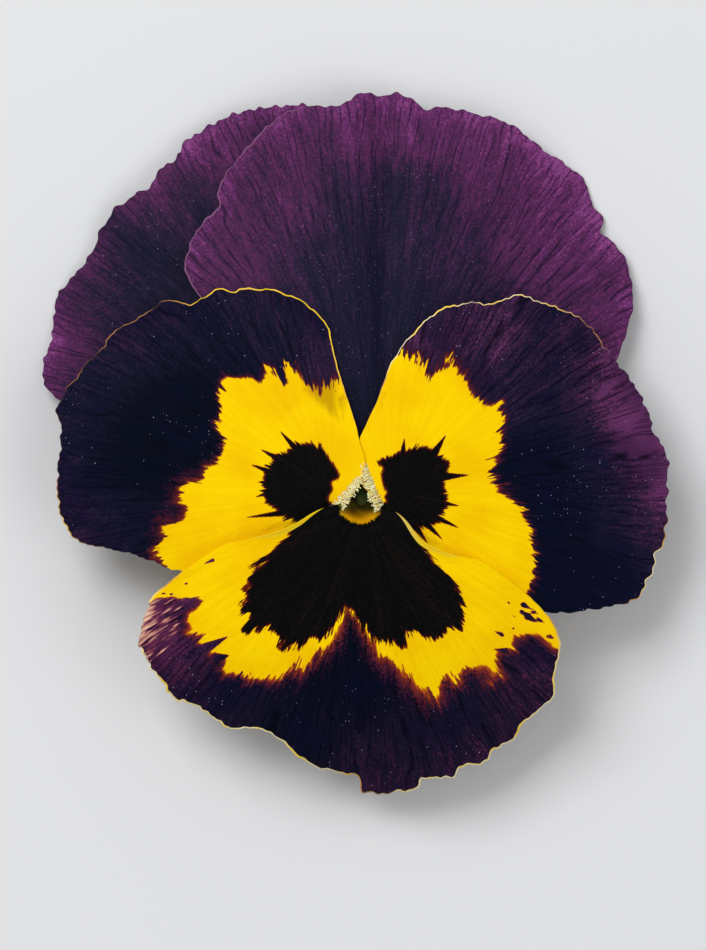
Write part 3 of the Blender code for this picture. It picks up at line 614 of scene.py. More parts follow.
def apply_modifier(piece, modifier):
    pick(piece)
    bpy.ops.object.modifier_apply(modifier=modifier.name)
    bpy.ops.object.shade_smooth()


BLADE = 0.32
MARGIN_SHARE = 0.5


def finish_blade(sheet, numbers, thick):
    """Keeps the numbers on the sheet, closes its seam and gives it its thickness."""
    for name, values in numbers.items():
        keep(sheet, name, values)
    solid = thicken(sheet, BLADE, MARGIN_SHARE, thick)
    merge_and_face(sheet)
    apply_modifier(sheet, solid)


print("blade thickness", BLADE, "mm")


# %% Pieces drawn out of a disc
def pull_tube(name, stations, sides, flat=1.0):
    """A round piece drawn out of one disc, ring by ring. A station is a place and a radius in millimetres."""
    deselect()
    places = np.array([s[:3] for s in stations], dtype=float)
    radii = [s[3] for s in stations]
    bpy.ops.mesh.primitive_circle_add(vertices=sides, radius=1.0, fill_type="NGON")
    piece = bpy.context.object
    piece.name = name
    piece.data.name = name
    circle = np.array([v.co[:2] for v in piece.data.vertices])
    bpy.ops.object.mode_set(mode="EDIT")
    bpy.ops.mesh.select_all(action="SELECT")
    for i, place in enumerate(places):
        if i > 0:
            bpy.ops.mesh.extrude_region_move()
        along = places[min(i + 1, len(places) - 1)] - places[max(i - 1, 0)]
        along = along / np.linalg.norm(along)
        side = np.array((1.0, 0.0, 0.0)) - along[0] * along
        side = side / np.linalg.norm(side)
        up = np.cross(side, along)
        edit = bmesh.from_edit_mesh(piece.data)
        ring = [v for v in edit.verts if v.select]
        if i == 0:
            turns = circle[[v.index for v in ring]]
        for v, (c, s) in zip(ring, turns):
            v.co = (place + radii[i] * (c * side + flat * s * up)) * MM
        bmesh.update_edit_mesh(piece.data)
    bpy.ops.mesh.select_all(action="SELECT")
    bpy.ops.mesh.normals_make_consistent(inside=False)
    bpy.ops.object.mode_set(mode="OBJECT")
    return piece


# %% The claw behind a blade
CLAW_FOOT = 2.15
CLAW_GAP = 0.3
CLAW_RADII = ((0.0, 0.85), (0.08, 0.8), (0.2, 0.66), (0.4, 0.52), (0.7, 0.42), (1.0, 0.38))
HUB = (0.0, 3.2)
HUB_TOP = 8.6


def claw(name, heart, height, degrees):
    """The narrow claw from the back of a blade to the receptacle."""
    a = math.radians(degrees)
    foot = np.array((HUB[0] + CLAW_FOOT * math.cos(a), HUB[1] + CLAW_FOOT * math.sin(a), HUB_TOP + CLAW_GAP))
    top = np.array((heart[0], heart[1], float(height(np.array(heart[0]), np.array(heart[1]), 0.0))))
    stations = [(*(top + (foot - top) * t - (0.0, 0.0, 0.08)), radius) for t, radius in CLAW_RADII]
    return pull_tube(name, stations, 16, flat=0.8)


print("claws run to the receptacle's top at", HUB_TOP, "mm")


# %% Build one blade
def steady_rays(out, reach):
    """The direction of each ray, eased so that no ray crosses the one before it."""
    turn = np.unwrap(np.arctan2(out[:, 1], out[:, 0]))
    way = np.sign(turn[-1] - turn[0])
    turn = np.maximum.accumulate(turn * way)
    soft = np.hanning(9)[1:-1]
    ring = np.concatenate([turn[-3:] - 2 * math.pi, turn, turn[:3] + 2 * math.pi])
    eased = np.convolve(ring, soft / soft.sum(), mode="valid")
    far = smooth_step(5.0, 9.0, reach)
    turn = way * (turn * (1.0 - far) + eased * far)
    return np.column_stack([np.cos(turn), np.sin(turn)])


def fan_petal(name, outline, height, rows, seed, degrees, marks):
    """A closed blade of rays that run from its heart to the outline, with its claw behind it."""
    heart = HEARTS[name]
    curve = margin_curve(outline)
    out = curve - np.array(heart)
    reach = np.hypot(out[:, 0], out[:, 1])
    reach = reach + ripple(curve, seed) * smooth_step(7.0, 14.0, reach)
    out = steady_rays(out, reach) * reach[:, None]
    sheet, across, up = grid_sheet(name + "_petal", RAYS, rows)
    ray = np.rint(across * RAYS).astype(int) % RAYS
    v = 1.0 - (1.0 - up) ** 1.2
    x = heart[0] + out[ray, 0] * v
    y = heart[1] + out[ray, 1] * v
    set_points(sheet, np.column_stack([x, y, height(x, y, v)]))
    edge = signed_distance(x, y, heart + out)
    numbers = {mark: values(x, y) for mark, values in marks.items()}
    finish_blade(sheet, {"edge": edge, **numbers}, smooth_step(0.0, 3.0, edge))
    stem = claw(name + "_petal_claw", heart, height, degrees)
    smooth(stem)
    pick(sheet, stem)
    bpy.ops.object.join()
    return sheet


# %% [markdown]
# ## The four fan petals
#
# The upper two are plain dark violet with a lighter margin. The left one is the rearmost petal of the
# flower. The right one lies over it and has a long crease down its middle. The lateral two have three
# zones: a black blot beside the throat with long whiskers, a gold field round it, and the dark violet of
# the rest. A thin pale rim shows along parts of the margin.

# %% Upper and lateral petals
UPPER_ROWS = 60
LATERAL_ROWS = 76
LEFT_MARKS = colour_marks(RIM_LEFT, LIFT_LEFT, GOLD_LEFT, 240, BLOT_LEFT, 160, WHISKERS_LEFT, FRINGE_LEFT)
RIGHT_MARKS = colour_marks(
    RIM_RIGHT, LIFT_RIGHT, GOLD_RIGHT, 240, BLOT_RIGHT, 160, WHISKERS_RIGHT, FRINGE_RIGHT)
FANS = (
    ("upper_left", UPPER_LEFT, height_upper_left, UPPER_ROWS, 21, 122,
     upper_marks(RIM_UPPER_LEFT, LIFT_UPPER_LEFT)),
    ("upper_right", UPPER_RIGHT, height_upper_right, UPPER_ROWS, 22, 58,
     upper_marks(RIM_UPPER_RIGHT, LIFT_UPPER_RIGHT)),
    ("lateral_left", LATERAL_LEFT, height_lateral_left, LATERAL_ROWS, 23, 200,
     {**LEFT_MARKS, "fold": streaks(FOLD_SHADE_LEFT)}),
    ("lateral_right", LATERAL_RIGHT, height_lateral_right, LATERAL_ROWS, 24, -20,
     {**RIGHT_MARKS, "fold": streaks(FOLD_SHADE_RIGHT)}),
)
petals = {fan[0]: fan_petal(*fan) for fan in FANS}
print("fan petals:", {name: len(petal.data.polygons) for name, petal in petals.items()}, "faces")

# %% [markdown]
# ## The lower petal and its spur
#
# This petal is one sheet that runs from the tip of the nectar spur, up through the throat, and out over the
# front of the flower. The grid's lowest rows therefore follow the spur's path and the rest fan out. The
# rays to the two shoulders start lower and bow upwards, so that they don't cross there. Beside the throat
# the margin is rolled up, and the rolled strip shows as a bright gold line.

# %% The lower petal's own curves
LOWER_ROWS = 68
SPUR_ROWS = 12
LIP_RADIUS = 1.4
MOUTH = (0.0, 0.5)
MOUTH_BORE = 0.75
MIDDLE = (0.0, -8.0)
BOW_REACH = 0.7
SPUR_PATH = (
    (0, 0.5, 11), (0, -0.2, 9.9), (0, -1.05, 8.8), (0, -1.75, 7.7), (0, -2.7, 6.7), (0, -4, 6),
    (0, -5.4, 5.7), (0, -5.75, 5.65),
)
SPUR_RADII = (0.75, 1.15, 1.25, 1.25, 1.25, 1.2, 0.8, 0)
LEFT_CORNER = ((-3.6, -0.12), (-2.8, 0), (-2, 0.2))
RIGHT_CORNER = ((1.9, 0), (2.8, -0.35))
RIGHT_BOW = (
    (-90, -90), (-47.5, -69.5), (-32, -63), (-21.2, -58.5), (-12.5, -55.5), (-0.4, -51.5), (7.3, -49),
    (14.3, -46), (19.2, -44), (25, -41.5), (31.7, -38), (38.9, -34), (48.3, -28), (56, -22.5),
    (62.7, -18.4),
)
LEFT_BOW = (
    (120, 190.9), (124.6, 193), (131, 196.5), (137, 200), (143, 203), (147.6, 205.5), (161.5, 210.5),
    (167.9, 213), (178.6, 217.5), (190, 223), (209, 233), (270, 270),
)
SHOULDER_ROLL = (
    (-13, 0), (-11, 0.45), (-9, 0.6), (-7, 0.46), (-5.8, 0.3), (-4.9, 0.16), (-4.2, 0.04), (-3.9, 0),
    (3.6, 0), (3.9, 0.08), (4.5, 0.22), (5.2, 0.42), (6.5, 0.56), (8.5, 0.6), (10, 0.36), (11.5, 0),
)


def read_table(rows, value):
    """The number between a table's rows (place, number) at each value."""
    return np.interp(value, [row[0] for row in rows], [row[1] for row in rows])


def lower_margin():
    """The lower petal's outline, closed behind the mouth by the arc of its lip."""
    arc = [
        (THROAT[0] + LIP_RADIUS * math.cos(a), THROAT[1] + LIP_RADIUS * math.sin(a))
        for a in np.radians(np.linspace(168, 12, 14))
    ]
    return margin_curve(LOWER + LEFT_CORNER + tuple(arc) + RIGHT_CORNER)


def direction(points, centre):
    """Degrees about a centre, from -90 to 270, so that the jump lies straight below it."""
    turn = np.degrees(np.arctan2(points[:, 1] - centre[1], points[:, 0] - centre[0]))
    return np.where(turn < -90.0, turn + 360.0, turn)


def first_turns(margin):
    """The direction in which each ray leaves the mouth, made to turn one way only and softened."""
    reach = np.hypot(margin[:, 0] - MOUTH[0], margin[:, 1] - MOUTH[1])
    middle = direction(margin, MIDDLE)
    bowed = np.where(margin[:, 0] > 0.0, read_table(RIGHT_BOW, middle), read_table(LEFT_BOW, middle))
    share = smooth_step(3.6, 4.6, reach)
    turn = direction(margin, MOUTH) * (1.0 - share) + bowed * share
    start = int(np.argmax(margin[:, 1]))
    turn = np.minimum.accumulate(np.degrees(np.unwrap(np.radians(np.roll(turn, -start)))))
    soft = np.hanning(15)[1:-1]
    ring = np.concatenate([turn[-13:] + 360.0, turn, turn[:13] - 360.0])
    turn = np.convolve(ring, soft / soft.sum(), mode="same")[13:-13]
    return np.radians(np.roll(turn, start))


def spur_rings(turn, share):
    """Places round the spur for rows below the mouth; share runs from 0 at the mouth to 1 at the tip."""
    path = np.array(SPUR_PATH)
    steps = way_along(path)
    s = share * steps[-1]
    centre, ahead, behind = (
        np.column_stack([np.interp(s + shift, steps, path[:, k]) for k in range(3)])
        for shift in (0.0, 0.2, -0.2))
    along = ahead - behind
    along = along / np.linalg.norm(along, axis=1)[:, None]
    north = np.cross((1.0, 0.0, 0.0), along)
    north = north * np.where(north[:, 1] < 0, -1.0, 1.0)[:, None]
    radius = np.interp(s, steps, SPUR_RADII)[:, None]
    return centre + radius * (turn[:, :1] * np.array((1.0, 0.0, 0.0)) + turn[:, 1:] * north)


# %% Lower petal
def lower_petal(name):
    mouth = np.array(MOUTH)
    margin = lower_margin()
    reach = np.hypot(margin[:, 0] - mouth[0], margin[:, 1] - mouth[1])
    stretch = 1.0 + ripple(margin, 25) * smooth_step(7.0, 14.0, reach) / reach
    margin = mouth + (margin - mouth) * stretch[:, None]
    turn = first_turns(margin)
    out = np.column_stack([np.cos(turn), np.sin(turn)])
    first = mouth + out * MOUTH_BORE
    lean = mouth + out * (MOUTH_BORE + (reach * stretch - MOUTH_BORE) * BOW_REACH)[:, None]
    rows = LOWER_ROWS + SPUR_ROWS
    sheet, across, up = grid_sheet(name, RAYS, rows)
    ray = np.rint(across * RAYS).astype(int) % RAYS
    row = np.rint(up * rows).astype(int)
    v = np.clip((row - SPUR_ROWS) / LOWER_ROWS, 0.0, 1.0) ** 1.25
    s = v[:, None]
    x, y = ((1.0 - s) ** 2 * first[ray] + 2.0 * s * (1.0 - s) * lean[ray] + s * s * margin[ray]).T
    edge = signed_distance(x, y, margin)
    roll = read_table(SHOULDER_ROLL, x) * (y > -6.5)
    z = height_lower(x, y, v) + 0.9 * roll * np.exp(-np.maximum(edge, 0.0) / 0.45)
    points = np.column_stack([x, y, z])
    below = row < SPUR_ROWS
    share = 1.0 - row / SPUR_ROWS
    points[below] = spur_rings(out[ray[below]], share[below])
    set_points(sheet, points)
    marks = colour_marks(RIM_LOWER, LIFT_LOWER, GOLD_LOWER, 320, BLOT_LOWER, 300, SPOTS, FRINGE_LOWER)
    numbers = {mark: values(x, y) for mark, values in marks.items()}
    numbers.update({
        "edge": np.where(below, 9.0, edge),
        "deep": np.where(below, share, 0.0),
        "strip": np.where(below | (roll < 0.02), -5.0, roll - 0.08 - edge),
        "pale": blend(PALE_LOWER, 1.0)(x, y) * smooth_step(-16.0, -19.0, x),
        "patch": np.where(below, 2.0 - 6.0 * share, field(THROAT_PATCH, 80)(x, y)),
    })
    finish_blade(sheet, numbers, np.where(below, 1.0, smooth_step(0.0, 3.0, edge)))
    return sheet


petals["lower"] = lower_petal("lower_petal")
print("lower petal:", len(petals["lower"].data.polygons), "faces")

# %% [markdown]
# ## Sums in a node tree
#
# A finish is a chain of small sums. A *signal* is the output of a node. It takes the plain signs for adding
# and multiplying, and each adds one Math node, so that a chain reads like a formula. The helpers add one
# node each and give its output as the next signal. An effect that several finishes use is put in a node
# group once.

# %% Signals and node helpers
class Signal:
    """A node's output on its way to the shader."""

    def __init__(self, tree, socket):
        self.tree = tree
        self.socket = socket

    def __add__(self, other):
        return sum_node("ADD", self, other)

    def __sub__(self, other):
        return sum_node("SUBTRACT", self, other)

    def __mul__(self, other):
        return sum_node("MULTIPLY", self, other)

    def __truediv__(self, other):
        return sum_node("DIVIDE", self, other)


def feed(socket, value):
    """Links a signal to a socket, or sets the socket's own value."""
    if isinstance(value, Signal):
        value.tree.links.new(value.socket, socket)
    else:
        socket.default_value = value


def add_node(tree, kind, inputs, output=0, **settings):
    """Adds one node with its settings and its inputs, and gives one of its outputs."""
    node = tree.nodes.new("ShaderNode" + kind)
    for name, setting in settings.items():
        setattr(node, name, setting)
    for label, value in inputs.items():
        feed(node.inputs[label], value)
    return Signal(tree, node.outputs[output])


def tree_of(*values):
    return next(value.tree for value in values if isinstance(value, Signal))


def sum_node(operation, *values):
    return add_node(tree_of(*values), "Math", dict(enumerate(values)), operation=operation)


def vector_of(x, y, z=0.0):
    return add_node(tree_of(x, y, z), "CombineXYZ", {0: x, 1: y, 2: z})


def parts_of(signal, kind="SeparateXYZ"):
    """The three numbers of a vector or a colour."""
    node = signal.tree.nodes.new("ShaderNode" + kind)
    feed(node.inputs[0], signal)
    return [Signal(signal.tree, socket) for socket in node.outputs]


def object_place(tree):
    return add_node(tree, "TexCoord", {}, "Object")


def stored(tree, name):
    """A number kept on the mesh by keep."""
    return add_node(tree, "Attribute", {}, "Fac", attribute_name=name)


def noise_of(vector, scale=1.0, detail=2.0, roughness=0.5):
    inputs = {"Vector": vector, "Scale": scale, "Detail": detail, "Roughness": roughness}
    return add_node(vector.tree, "TexNoise", inputs, "Fac")


def ray_noise(angle, turns, radius, stretch, seed, detail=1.0, roughness=0.5):
    """Noise about zero in streaks along the rays: turns sets their number, stretch how short they are."""
    return noise_of(vector_of(angle * turns, radius * stretch, seed), 1.0, detail, roughness) - 0.5


def ease(value, low, high, start=0.0, end=1.0):
    """A smooth step from one value to another as the input goes from low to high."""
    inputs = {"Value": value, "From Min": low, "From Max": high, "To Min": start, "To Max": end}
    return add_node(value.tree, "MapRange", inputs, "Result", interpolation_type="SMOOTHSTEP")


def mix_tones(share, first, second):
    """Two colours mixed; a Mix node's sockets 6 and 7 and its output 2 are the ones for colours."""
    return add_node(
        tree_of(share, first, second), "Mix", {0: share, 6: first, 7: second}, 2, data_type="RGBA")


def tone_ramp(value, stops, low=0.0, high=1.0):
    """Colours along a line from low to high; each stop is its share of the way, red, green and blue."""
    node = value.tree.nodes.new("ShaderNodeValToRGB")
    ramp = node.color_ramp
    ramp.elements.remove(ramp.elements[-1])
    ramp.elements[0].position = stops[0][0]
    ramp.elements[0].color = tone(*stops[0][1:])
    for place, *colour in stops[1:]:
        ramp.elements.new(place).color = tone(*colour)
    feed(node.inputs["Fac"], (value - low) / (high - low))
    return Signal(value.tree, node.outputs["Color"])


def bump(height, distance, strength, **base):
    """The surface's normal over a height; base may give the Normal to start from."""
    inputs = {"Strength": strength, "Distance": distance, "Height": height, **base}
    return add_node(height.tree, "Bump", inputs, "Normal")


def new_group(name, inputs, outputs):
    """An empty node group, the signals of its inputs and the sockets of its outputs, all by name."""
    group = bpy.data.node_groups.new(name, "ShaderNodeTree")
    for labels, way in ((inputs, "INPUT"), (outputs, "OUTPUT")):
        for label in labels:
            kind = "NodeSocketVector" if label == "Place" else "NodeSocketFloat"
            group.interface.new_socket(label, in_out=way, socket_type=kind)
    start = group.nodes.new("NodeGroupInput")
    given = {label: Signal(group, start.outputs[label]) for label in inputs}
    return group, given, group.nodes.new("NodeGroupOutput").inputs


def use_group(tree, group, values, **more):
    """Places a group in a tree, feeds its inputs from the values and gives its outputs by name."""
    node = tree.nodes.new("ShaderNodeGroup")
    node.node_tree = group
    values = {**values, **more}
    for socket in node.inputs:
        feed(socket, values[socket.name])
    return {socket.name: Signal(tree, socket) for socket in node.outputs}


print("node helpers ready")

# %% [markdown]
# ## Shared effects of a petal
#
# Seven effects make up a petal's skin. *Fan place* turns a point into an angle and a radius about the
# petal's claw. *Veins* draws the fan of veins, which fork again and again on their way out. *Feathers*
# breaks the line of a mark into fine streaks along the rays. *Velvet* is the fine grain of the skin.
# *Pigment* makes the colour uneven. *Glints* are sparse bright points, and *rim line* is the thin pale line
# along the margin.

# %% Fan place
fan_place, given, result = new_group("fan_place", ("East", "North", "Side"), ("Angle", "Radius", "Place"))
place = add_node(fan_place, "VectorMath", {0: object_place(fan_place), "Scale": 1.0 / MM}, operation="SCALE")
x, y, _ = parts_of(place)
x = x - given["East"]
y = y - given["North"]
feed(result["Angle"], sum_node("ARCTAN2", y * given["Side"], x * given["Side"]))
feed(result["Radius"], sum_node("SQRT", x * x + y * y))
feed(result["Place"], place)
print("fan place:", len(fan_place.nodes), "nodes")

# %% Veins
# They lie in equal slots of angle. Each forks three times, at (millimetres after the first fork, share of the
# slot), and its line is thinner after each fork.
FORKS = ((0.0, 0.25), (6.0, 0.125), (14.0, 0.0625))
veins, given, result = new_group(
    "veins", ("Angle", "Radius", "Seed", "Slots", "Width", "Fork"), ("Vein", "Ridge"))
angle, radius, seed, slots = (given[name] for name in ("Angle", "Radius", "Seed", "Slots"))
bend = ray_noise(angle, 6.0, radius, 0.11, seed, 2.0) * 0.07
uneven = (noise_of(vector_of(angle * (slots * 0.12), seed), detail=1.0) - 0.5) * 0.22
slot = (angle + bend + uneven) * slots / (2 * math.pi)
number = vector_of(sum_node("FLOOR", slot), seed)
late = add_node(veins, "TexWhiteNoise", {"Vector": number}, "Value", noise_dimensions="2D") * 5.0
across = sum_node("ABSOLUTE", sum_node("FRACT", slot) - 0.5)
for level, (start, spread) in enumerate(FORKS):
    low = given["Fork"] + start + late
    across = sum_node("ABSOLUTE", across - ease(radius, low, low + (9.0 + 3.0 * level), 0.0, spread))
away = across * (radius * (2 * math.pi) / slots)
half = given["Width"] * ease(radius, 4.0, 34.0, 1.25, 0.7)
broken = ray_noise(angle, 30.0, radius, 0.35, seed)
feed(result["Vein"], ease(away, 0.0, half, 1.0, 0.0) * ease(broken, -0.14, 0.08, 0.08, 1.0))
feed(result["Ridge"], ease(away, 0.0, half * 3.0, 1.0, 0.0))
print("veins:", len(veins.nodes), "nodes")

# %% Feathers
# Streaky noise is added to a distance, so that the line where it passes zero turns into feathers. Each row is
# how much finer than the first, how short, a shift of the seed, detail and weight.
FEATHERS = ((1.0, 0.10, 0.0, 1.0, 2.9), (3.1, 0.42, 7.0, 2.0, 2.7), (8.0, 1.3, 13.0, 1.0, 1.0))
feathers, given, result = new_group(
    "feathers", ("Field", "Angle", "Radius", "Seed", "Length", "Fineness"), ("Field",))
angle, radius, seed = (given[name] for name in ("Angle", "Radius", "Seed"))
shift = 0.0
for finer, stretch, later, detail, weight in FEATHERS:
    streak = ray_noise(angle, given["Fineness"] * finer, radius, stretch, seed + later, detail) * weight
    shift = streak + shift
mood = ray_noise(angle, 5.0, radius, 0.3, seed + 3.0)
calm = given["Length"] * ease(radius, 2.0, 7.0, 0.3, 1.0) * ease(mood, -0.16, 0.16, 0.5, 1.45)
feed(result["Field"], given["Field"] + shift * calm)
print("feathers:", len(feathers.nodes), "nodes")

# %% Velvet
velvet, given, result = new_group("velvet", ("Place",), ("Grain", "Cloud"))
feed(result["Grain"], noise_of(given["Place"], 7.0, 2.0, 0.6))
feed(result["Cloud"], noise_of(given["Place"], 0.16))
print("velvet:", len(velvet.nodes), "nodes")

# %% Pigment
# Streaks along the rays in three widths (turns, stretch, weight, detail), which drift, over a fine mottle.
PIGMENT_STREAKS = ((8.0, 0.045, 0.8, 2.0), (30.0, 0.12, 0.8, 2.0), (95.0, 0.6, 0.7, 1.0))
pigment, given, result = new_group("pigment", ("Place", "Angle", "Radius", "Seed"), ("Shade",))
angle = given["Angle"] + (noise_of(given["Place"], 0.3) - 0.5) * 0.06
shade = (noise_of(given["Place"], 3.6, 3.0, 0.75) - 0.5) * 1.7
for turns, stretch, weight, detail in PIGMENT_STREAKS:
    layer = ray_noise(angle, turns, given["Radius"], stretch, given["Seed"] + turns, detail, 0.6)
    shade = shade + layer * weight
feed(result["Shade"], shade)
print("pigment:", len(pigment.nodes), "nodes")

# %% Glints
# Sparse bright points, where single skin cells face the light.
GLINT_SHARE = 0.1
glints, given, result = new_group("glints", ("Place",), ("Glint",))
cells = glints.nodes.new("ShaderNodeTexVoronoi")
cells.voronoi_dimensions = "2D"
feed(cells.inputs["Vector"], given["Place"])
feed(cells.inputs["Scale"], 2.7)
chance, wide, bright = parts_of(Signal(glints, cells.outputs["Color"]), "SeparateColor")
crowd = ease(noise_of(given["Place"], 0.14), 0.42, 0.68, 0.12, 1.0) * GLINT_SHARE
size = ease(wide, 0.0, 1.0, 0.08, 0.19)
point = ease(Signal(glints, cells.outputs["Distance"]), size * 0.4, size, 1.0, 0.0)
feed(result["Glint"], sum_node("LESS_THAN", chance, crowd) * point * ease(bright, 0.2, 1.0, 0.3, 1.0))
print("glints:", len(glints.nodes), "nodes")

# %% Rim line
# A thin line along the margin, with gaps; its strength comes from the listed values.
rim_line, given, result = new_group(
    "rim_line", ("Edge", "Strength", "Rim Width", "Angle", "Seed"), ("Rim", "Wander"))
wander = noise_of(vector_of(given["Angle"] * 9.0, given["Seed"]), detail=3.0)
strength = given["Strength"]
wide = given["Rim Width"] * ease(wander, 0.3, 0.7, 0.55, 1.4) * ease(strength, 0.2, 0.95, 0.55, 1.15)
shown = ease(strength + (wander - 0.5) * 0.9, 0.25, 0.7)
feed(result["Rim"], ease(given["Edge"], wide * 0.7, wide, 1.0, 0.0) * shown)
feed(result["Wander"], wander)
print("rim line:", len(rim_line.nodes), "nodes")

# %% [markdown]
# ## Finish of the upper petals
#
# Deep violet near the throat, lighter and redder towards the margin, with dark forking veins. How light each
# place is comes from the listed values, and the pigment's streaks move it up and down.

# %% What every petal's finish starts with
def begin_skin(name, look, heart, seed, slots, width, fork, rim_width, side=1.0):
    """A bare finish, and by name all the signals that a petal's colours are made of."""
    material, tree, shader = new_finish(name, *look)
    s = use_group(tree, fan_place, {"East": heart[0], "North": heart[1], "Side": side})
    s.update({
        "Seed": seed, "Slots": slots, "Width": width, "Fork": fork, "Rim Width": rim_width,
        "Edge": stored(tree, "edge"), "Strength": stored(tree, "rim"), "Lift": stored(tree, "lift"),
    })
    for group in (veins, velvet, pigment, glints, rim_line):
        s.update(use_group(tree, group, s))
    return material, tree, shader, s


def close_skin(petal, material, shader, s, colour, rough, ridge_depth, grain_depth):
    """Veins sink a little between soft ribs, under a fine grain that also breaks up the shine."""
    ribs = bump(s["Ridge"] * -1.0, ridge_depth, 0.6)
    feed(shader["Base Color"], colour)
    feed(shader["Roughness"], ease(s["Grain"], 0.3, 0.7, *rough))
    feed(shader["Normal"], bump(s["Grain"], grain_depth, 0.35, Normal=ribs))
    petal.data.materials.append(material)


# %% Upper petals' finish
UPPER_LOOK = (0.62, 0.02, tone(190, 150, 210), 0.06)
UPPER_STOPS = (
    (0.0, 11, 13, 32), (0.28, 18, 19, 42), (0.46, 38, 26, 55), (0.66, 72, 34, 72), (0.84, 98, 42, 95),
    (1.0, 138, 68, 132),
)


def dress_upper(place, name, seed):
    material, tree, shader, s = begin_skin(name, UPPER_LOOK, HEARTS[place], seed, 38.0, 0.18, 7.0, 0.15)
    way = s["Lift"] + s["Shade"] * 0.5 + ease(s["Edge"], 0.3, 2.6, 0.1, 0.0)
    colour = tone_ramp(way, UPPER_STOPS)
    colour = mix_tones(s["Vein"], colour, mix_tones(0.78, colour, tone(12, 10, 32)))
    colour = mix_tones(s["Glint"], colour, tone(150, 128, 170))
    colour = mix_tones(s["Rim"], colour, tone(128, 82, 118))
    close_skin(petals[place], material, shader, s, colour, (0.55, 0.72), 0.00003, 0.00002)


dress_upper("upper_left", "violet_skin_left", 3.0)
dress_upper("upper_right", "violet_skin_right", 8.0)
print("upper petals dressed")

# %% [markdown]
# ## Finish of the marked petals
#
# The lateral and lower petals are layered from the outside in: night violet, then the gold field, then the
# black blot. Between gold and dark the pigment thins out, over a listed width, and a maroon
# and orange edge shows. Each layer's feathered distance is put through one colour ramp, so that edge is
# part of the same step. The lower petal adds spots in its gold, pale threads at its left end, the rolled
# gold strips and an amber patch in the throat.

# %% Marked petals' tones
MARKED_LOOK = (0.6, 0.0, tone(200, 190, 220), 0.02)
INK = tone(8, 8, 9)
THIN_LATERAL = (
    (0.0, 38, 15, 40), (0.5, 58, 21, 38), (0.76, 96, 31, 32), (0.92, 176, 76, 18), (1.0, 240, 182, 0),
)
THIN_LOWER = (
    (0.0, 44, 17, 44), (0.45, 78, 27, 46), (0.72, 124, 42, 32), (0.87, 198, 94, 18), (1.0, 244, 190, 0),
)
BLOT_EDGE = ((0.0, 214, 140, 4), (0.3, 128, 40, 12), (0.6, 48, 12, 18), (1.0, 8, 8, 9))
NIGHT_LEFT = ((0.0, 2, 7, 20), (0.55, 5, 10, 26), (0.8, 20, 20, 42), (0.95, 46, 28, 56), (1.0, 60, 34, 62))
NIGHT_RIGHT = ((0.0, 4, 8, 22), (0.5, 9, 13, 33), (0.75, 28, 23, 48), (0.9, 62, 33, 64), (1.0, 98, 48, 94))
NIGHT_LOWER = ((0.0, 3, 7, 20), (0.5, 6, 10, 26), (0.8, 25, 20, 42), (0.92, 52, 27, 56), (1.0, 86, 37, 74))
RIM_GOLD = (tone(255, 218, 30), tone(244, 196, 76))
RIM_CREAM = (tone(255, 242, 196), tone(255, 218, 92))


def gold_skin(tree, s):
    """The gold field, with soft clouds, painted shade in olive along its folds, and faint darker veins."""
    gold = mix_tones(ease(s["Cloud"], 0.35, 0.65), tone(253, 212, 0), tone(246, 197, 0))
    gold = mix_tones(ease(s["Shade"], 0.0, 0.6) * 0.3, gold, tone(226, 172, 0))
    # Painted shade: the gold darkens to olive along the fold streaks.
    fold = stored(tree, "fold")
    painted_fold_shade = ease(fold + s["Shade"] * 0.7, 0.0, 1.3, 0.0, 0.8) * ease(fold, -0.5, 0.1)
    gold = mix_tones(painted_fold_shade, gold, tone(188, 140, 4))
    return mix_tones(s["Ridge"] * 0.12, gold, tone(222, 160, 0))


def night_skin(s, stops):
    """The dark outer field, lighter and redder towards the margin."""
    colour = tone_ramp(s["Lift"] + s["Shade"] * 0.38, stops)
    colour = mix_tones(ease(s["Cloud"], 0.42, 0.66) * 0.55, colour, tone(9, 12, 40))
    colour = mix_tones(s["Vein"] * 0.85, colour, tone(6, 6, 20))
    return mix_tones(s["Glint"], colour, tone(176, 168, 190))


# %% Marked petals' layers
def marked_skin(name, place, seed, night, thin, gold_length, blot_length, fineness, rims, side=1.0,
                rim_width=0.14, spots=False):
    """Night violet, gold and black with feathered edges, and the rim. Whiskers count as blot or as spots."""
    material, tree, shader, s = begin_skin(
        name, MARKED_LOOK, HEARTS[place], seed, 50.0, 0.16, 5.0, rim_width, side)
    fray = sum_node("MAXIMUM", stored(tree, "fray"), 0.4) * gold_length
    gold_field = use_group(
        tree, feathers, s, Field=stored(tree, "gold"), Length=fray, Fineness=fineness)["Field"]
    blot_field = use_group(
        tree, feathers, {**s, "Seed": seed + 31.0}, Field=stored(tree, "blot"), Length=blot_length,
        Fineness=fineness * 1.2)["Field"]
    whisker = stored(tree, "whisker") + (s["Grain"] - 0.5) * 0.2
    if spots:
        gold_field = sum_node("MINIMUM", gold_field, whisker * -6.0)
    else:
        blot_field = sum_node("MAXIMUM", blot_field, whisker * 2.2)
    faded = gold_field / sum_node("MAXIMUM", stored(tree, "fade"), 0.3)
    thinned = tone_ramp(faded, thin, -1.0, 0.2)
    colour = mix_tones(ease(faded + s["Shade"] * 2.2, -1.0, 0.1), night_skin(s, night), thinned)
    colour = mix_tones(ease(gold_field, 0.0, 0.22), colour, gold_skin(tree, s))
    ink = mix_tones(ease(s["Shade"], -0.1, 0.6), INK, tone(28, 20, 16))
    edge = mix_tones(ease(blot_field, 0.2, 0.5), tone_ramp(blot_field, BLOT_EDGE, -0.22, 0.3), ink)
    colour = mix_tones(ease(blot_field, -0.2, -0.05), colour, edge)
    pale = mix_tones(ease(s["Wander"], 0.4, 0.62), *rims)
    pale = mix_tones(ease(s["Strength"], 0.5, 0.75), tone(204, 144, 84), pale)
    return material, tree, shader, s, mix_tones(s["Rim"], colour, pale)


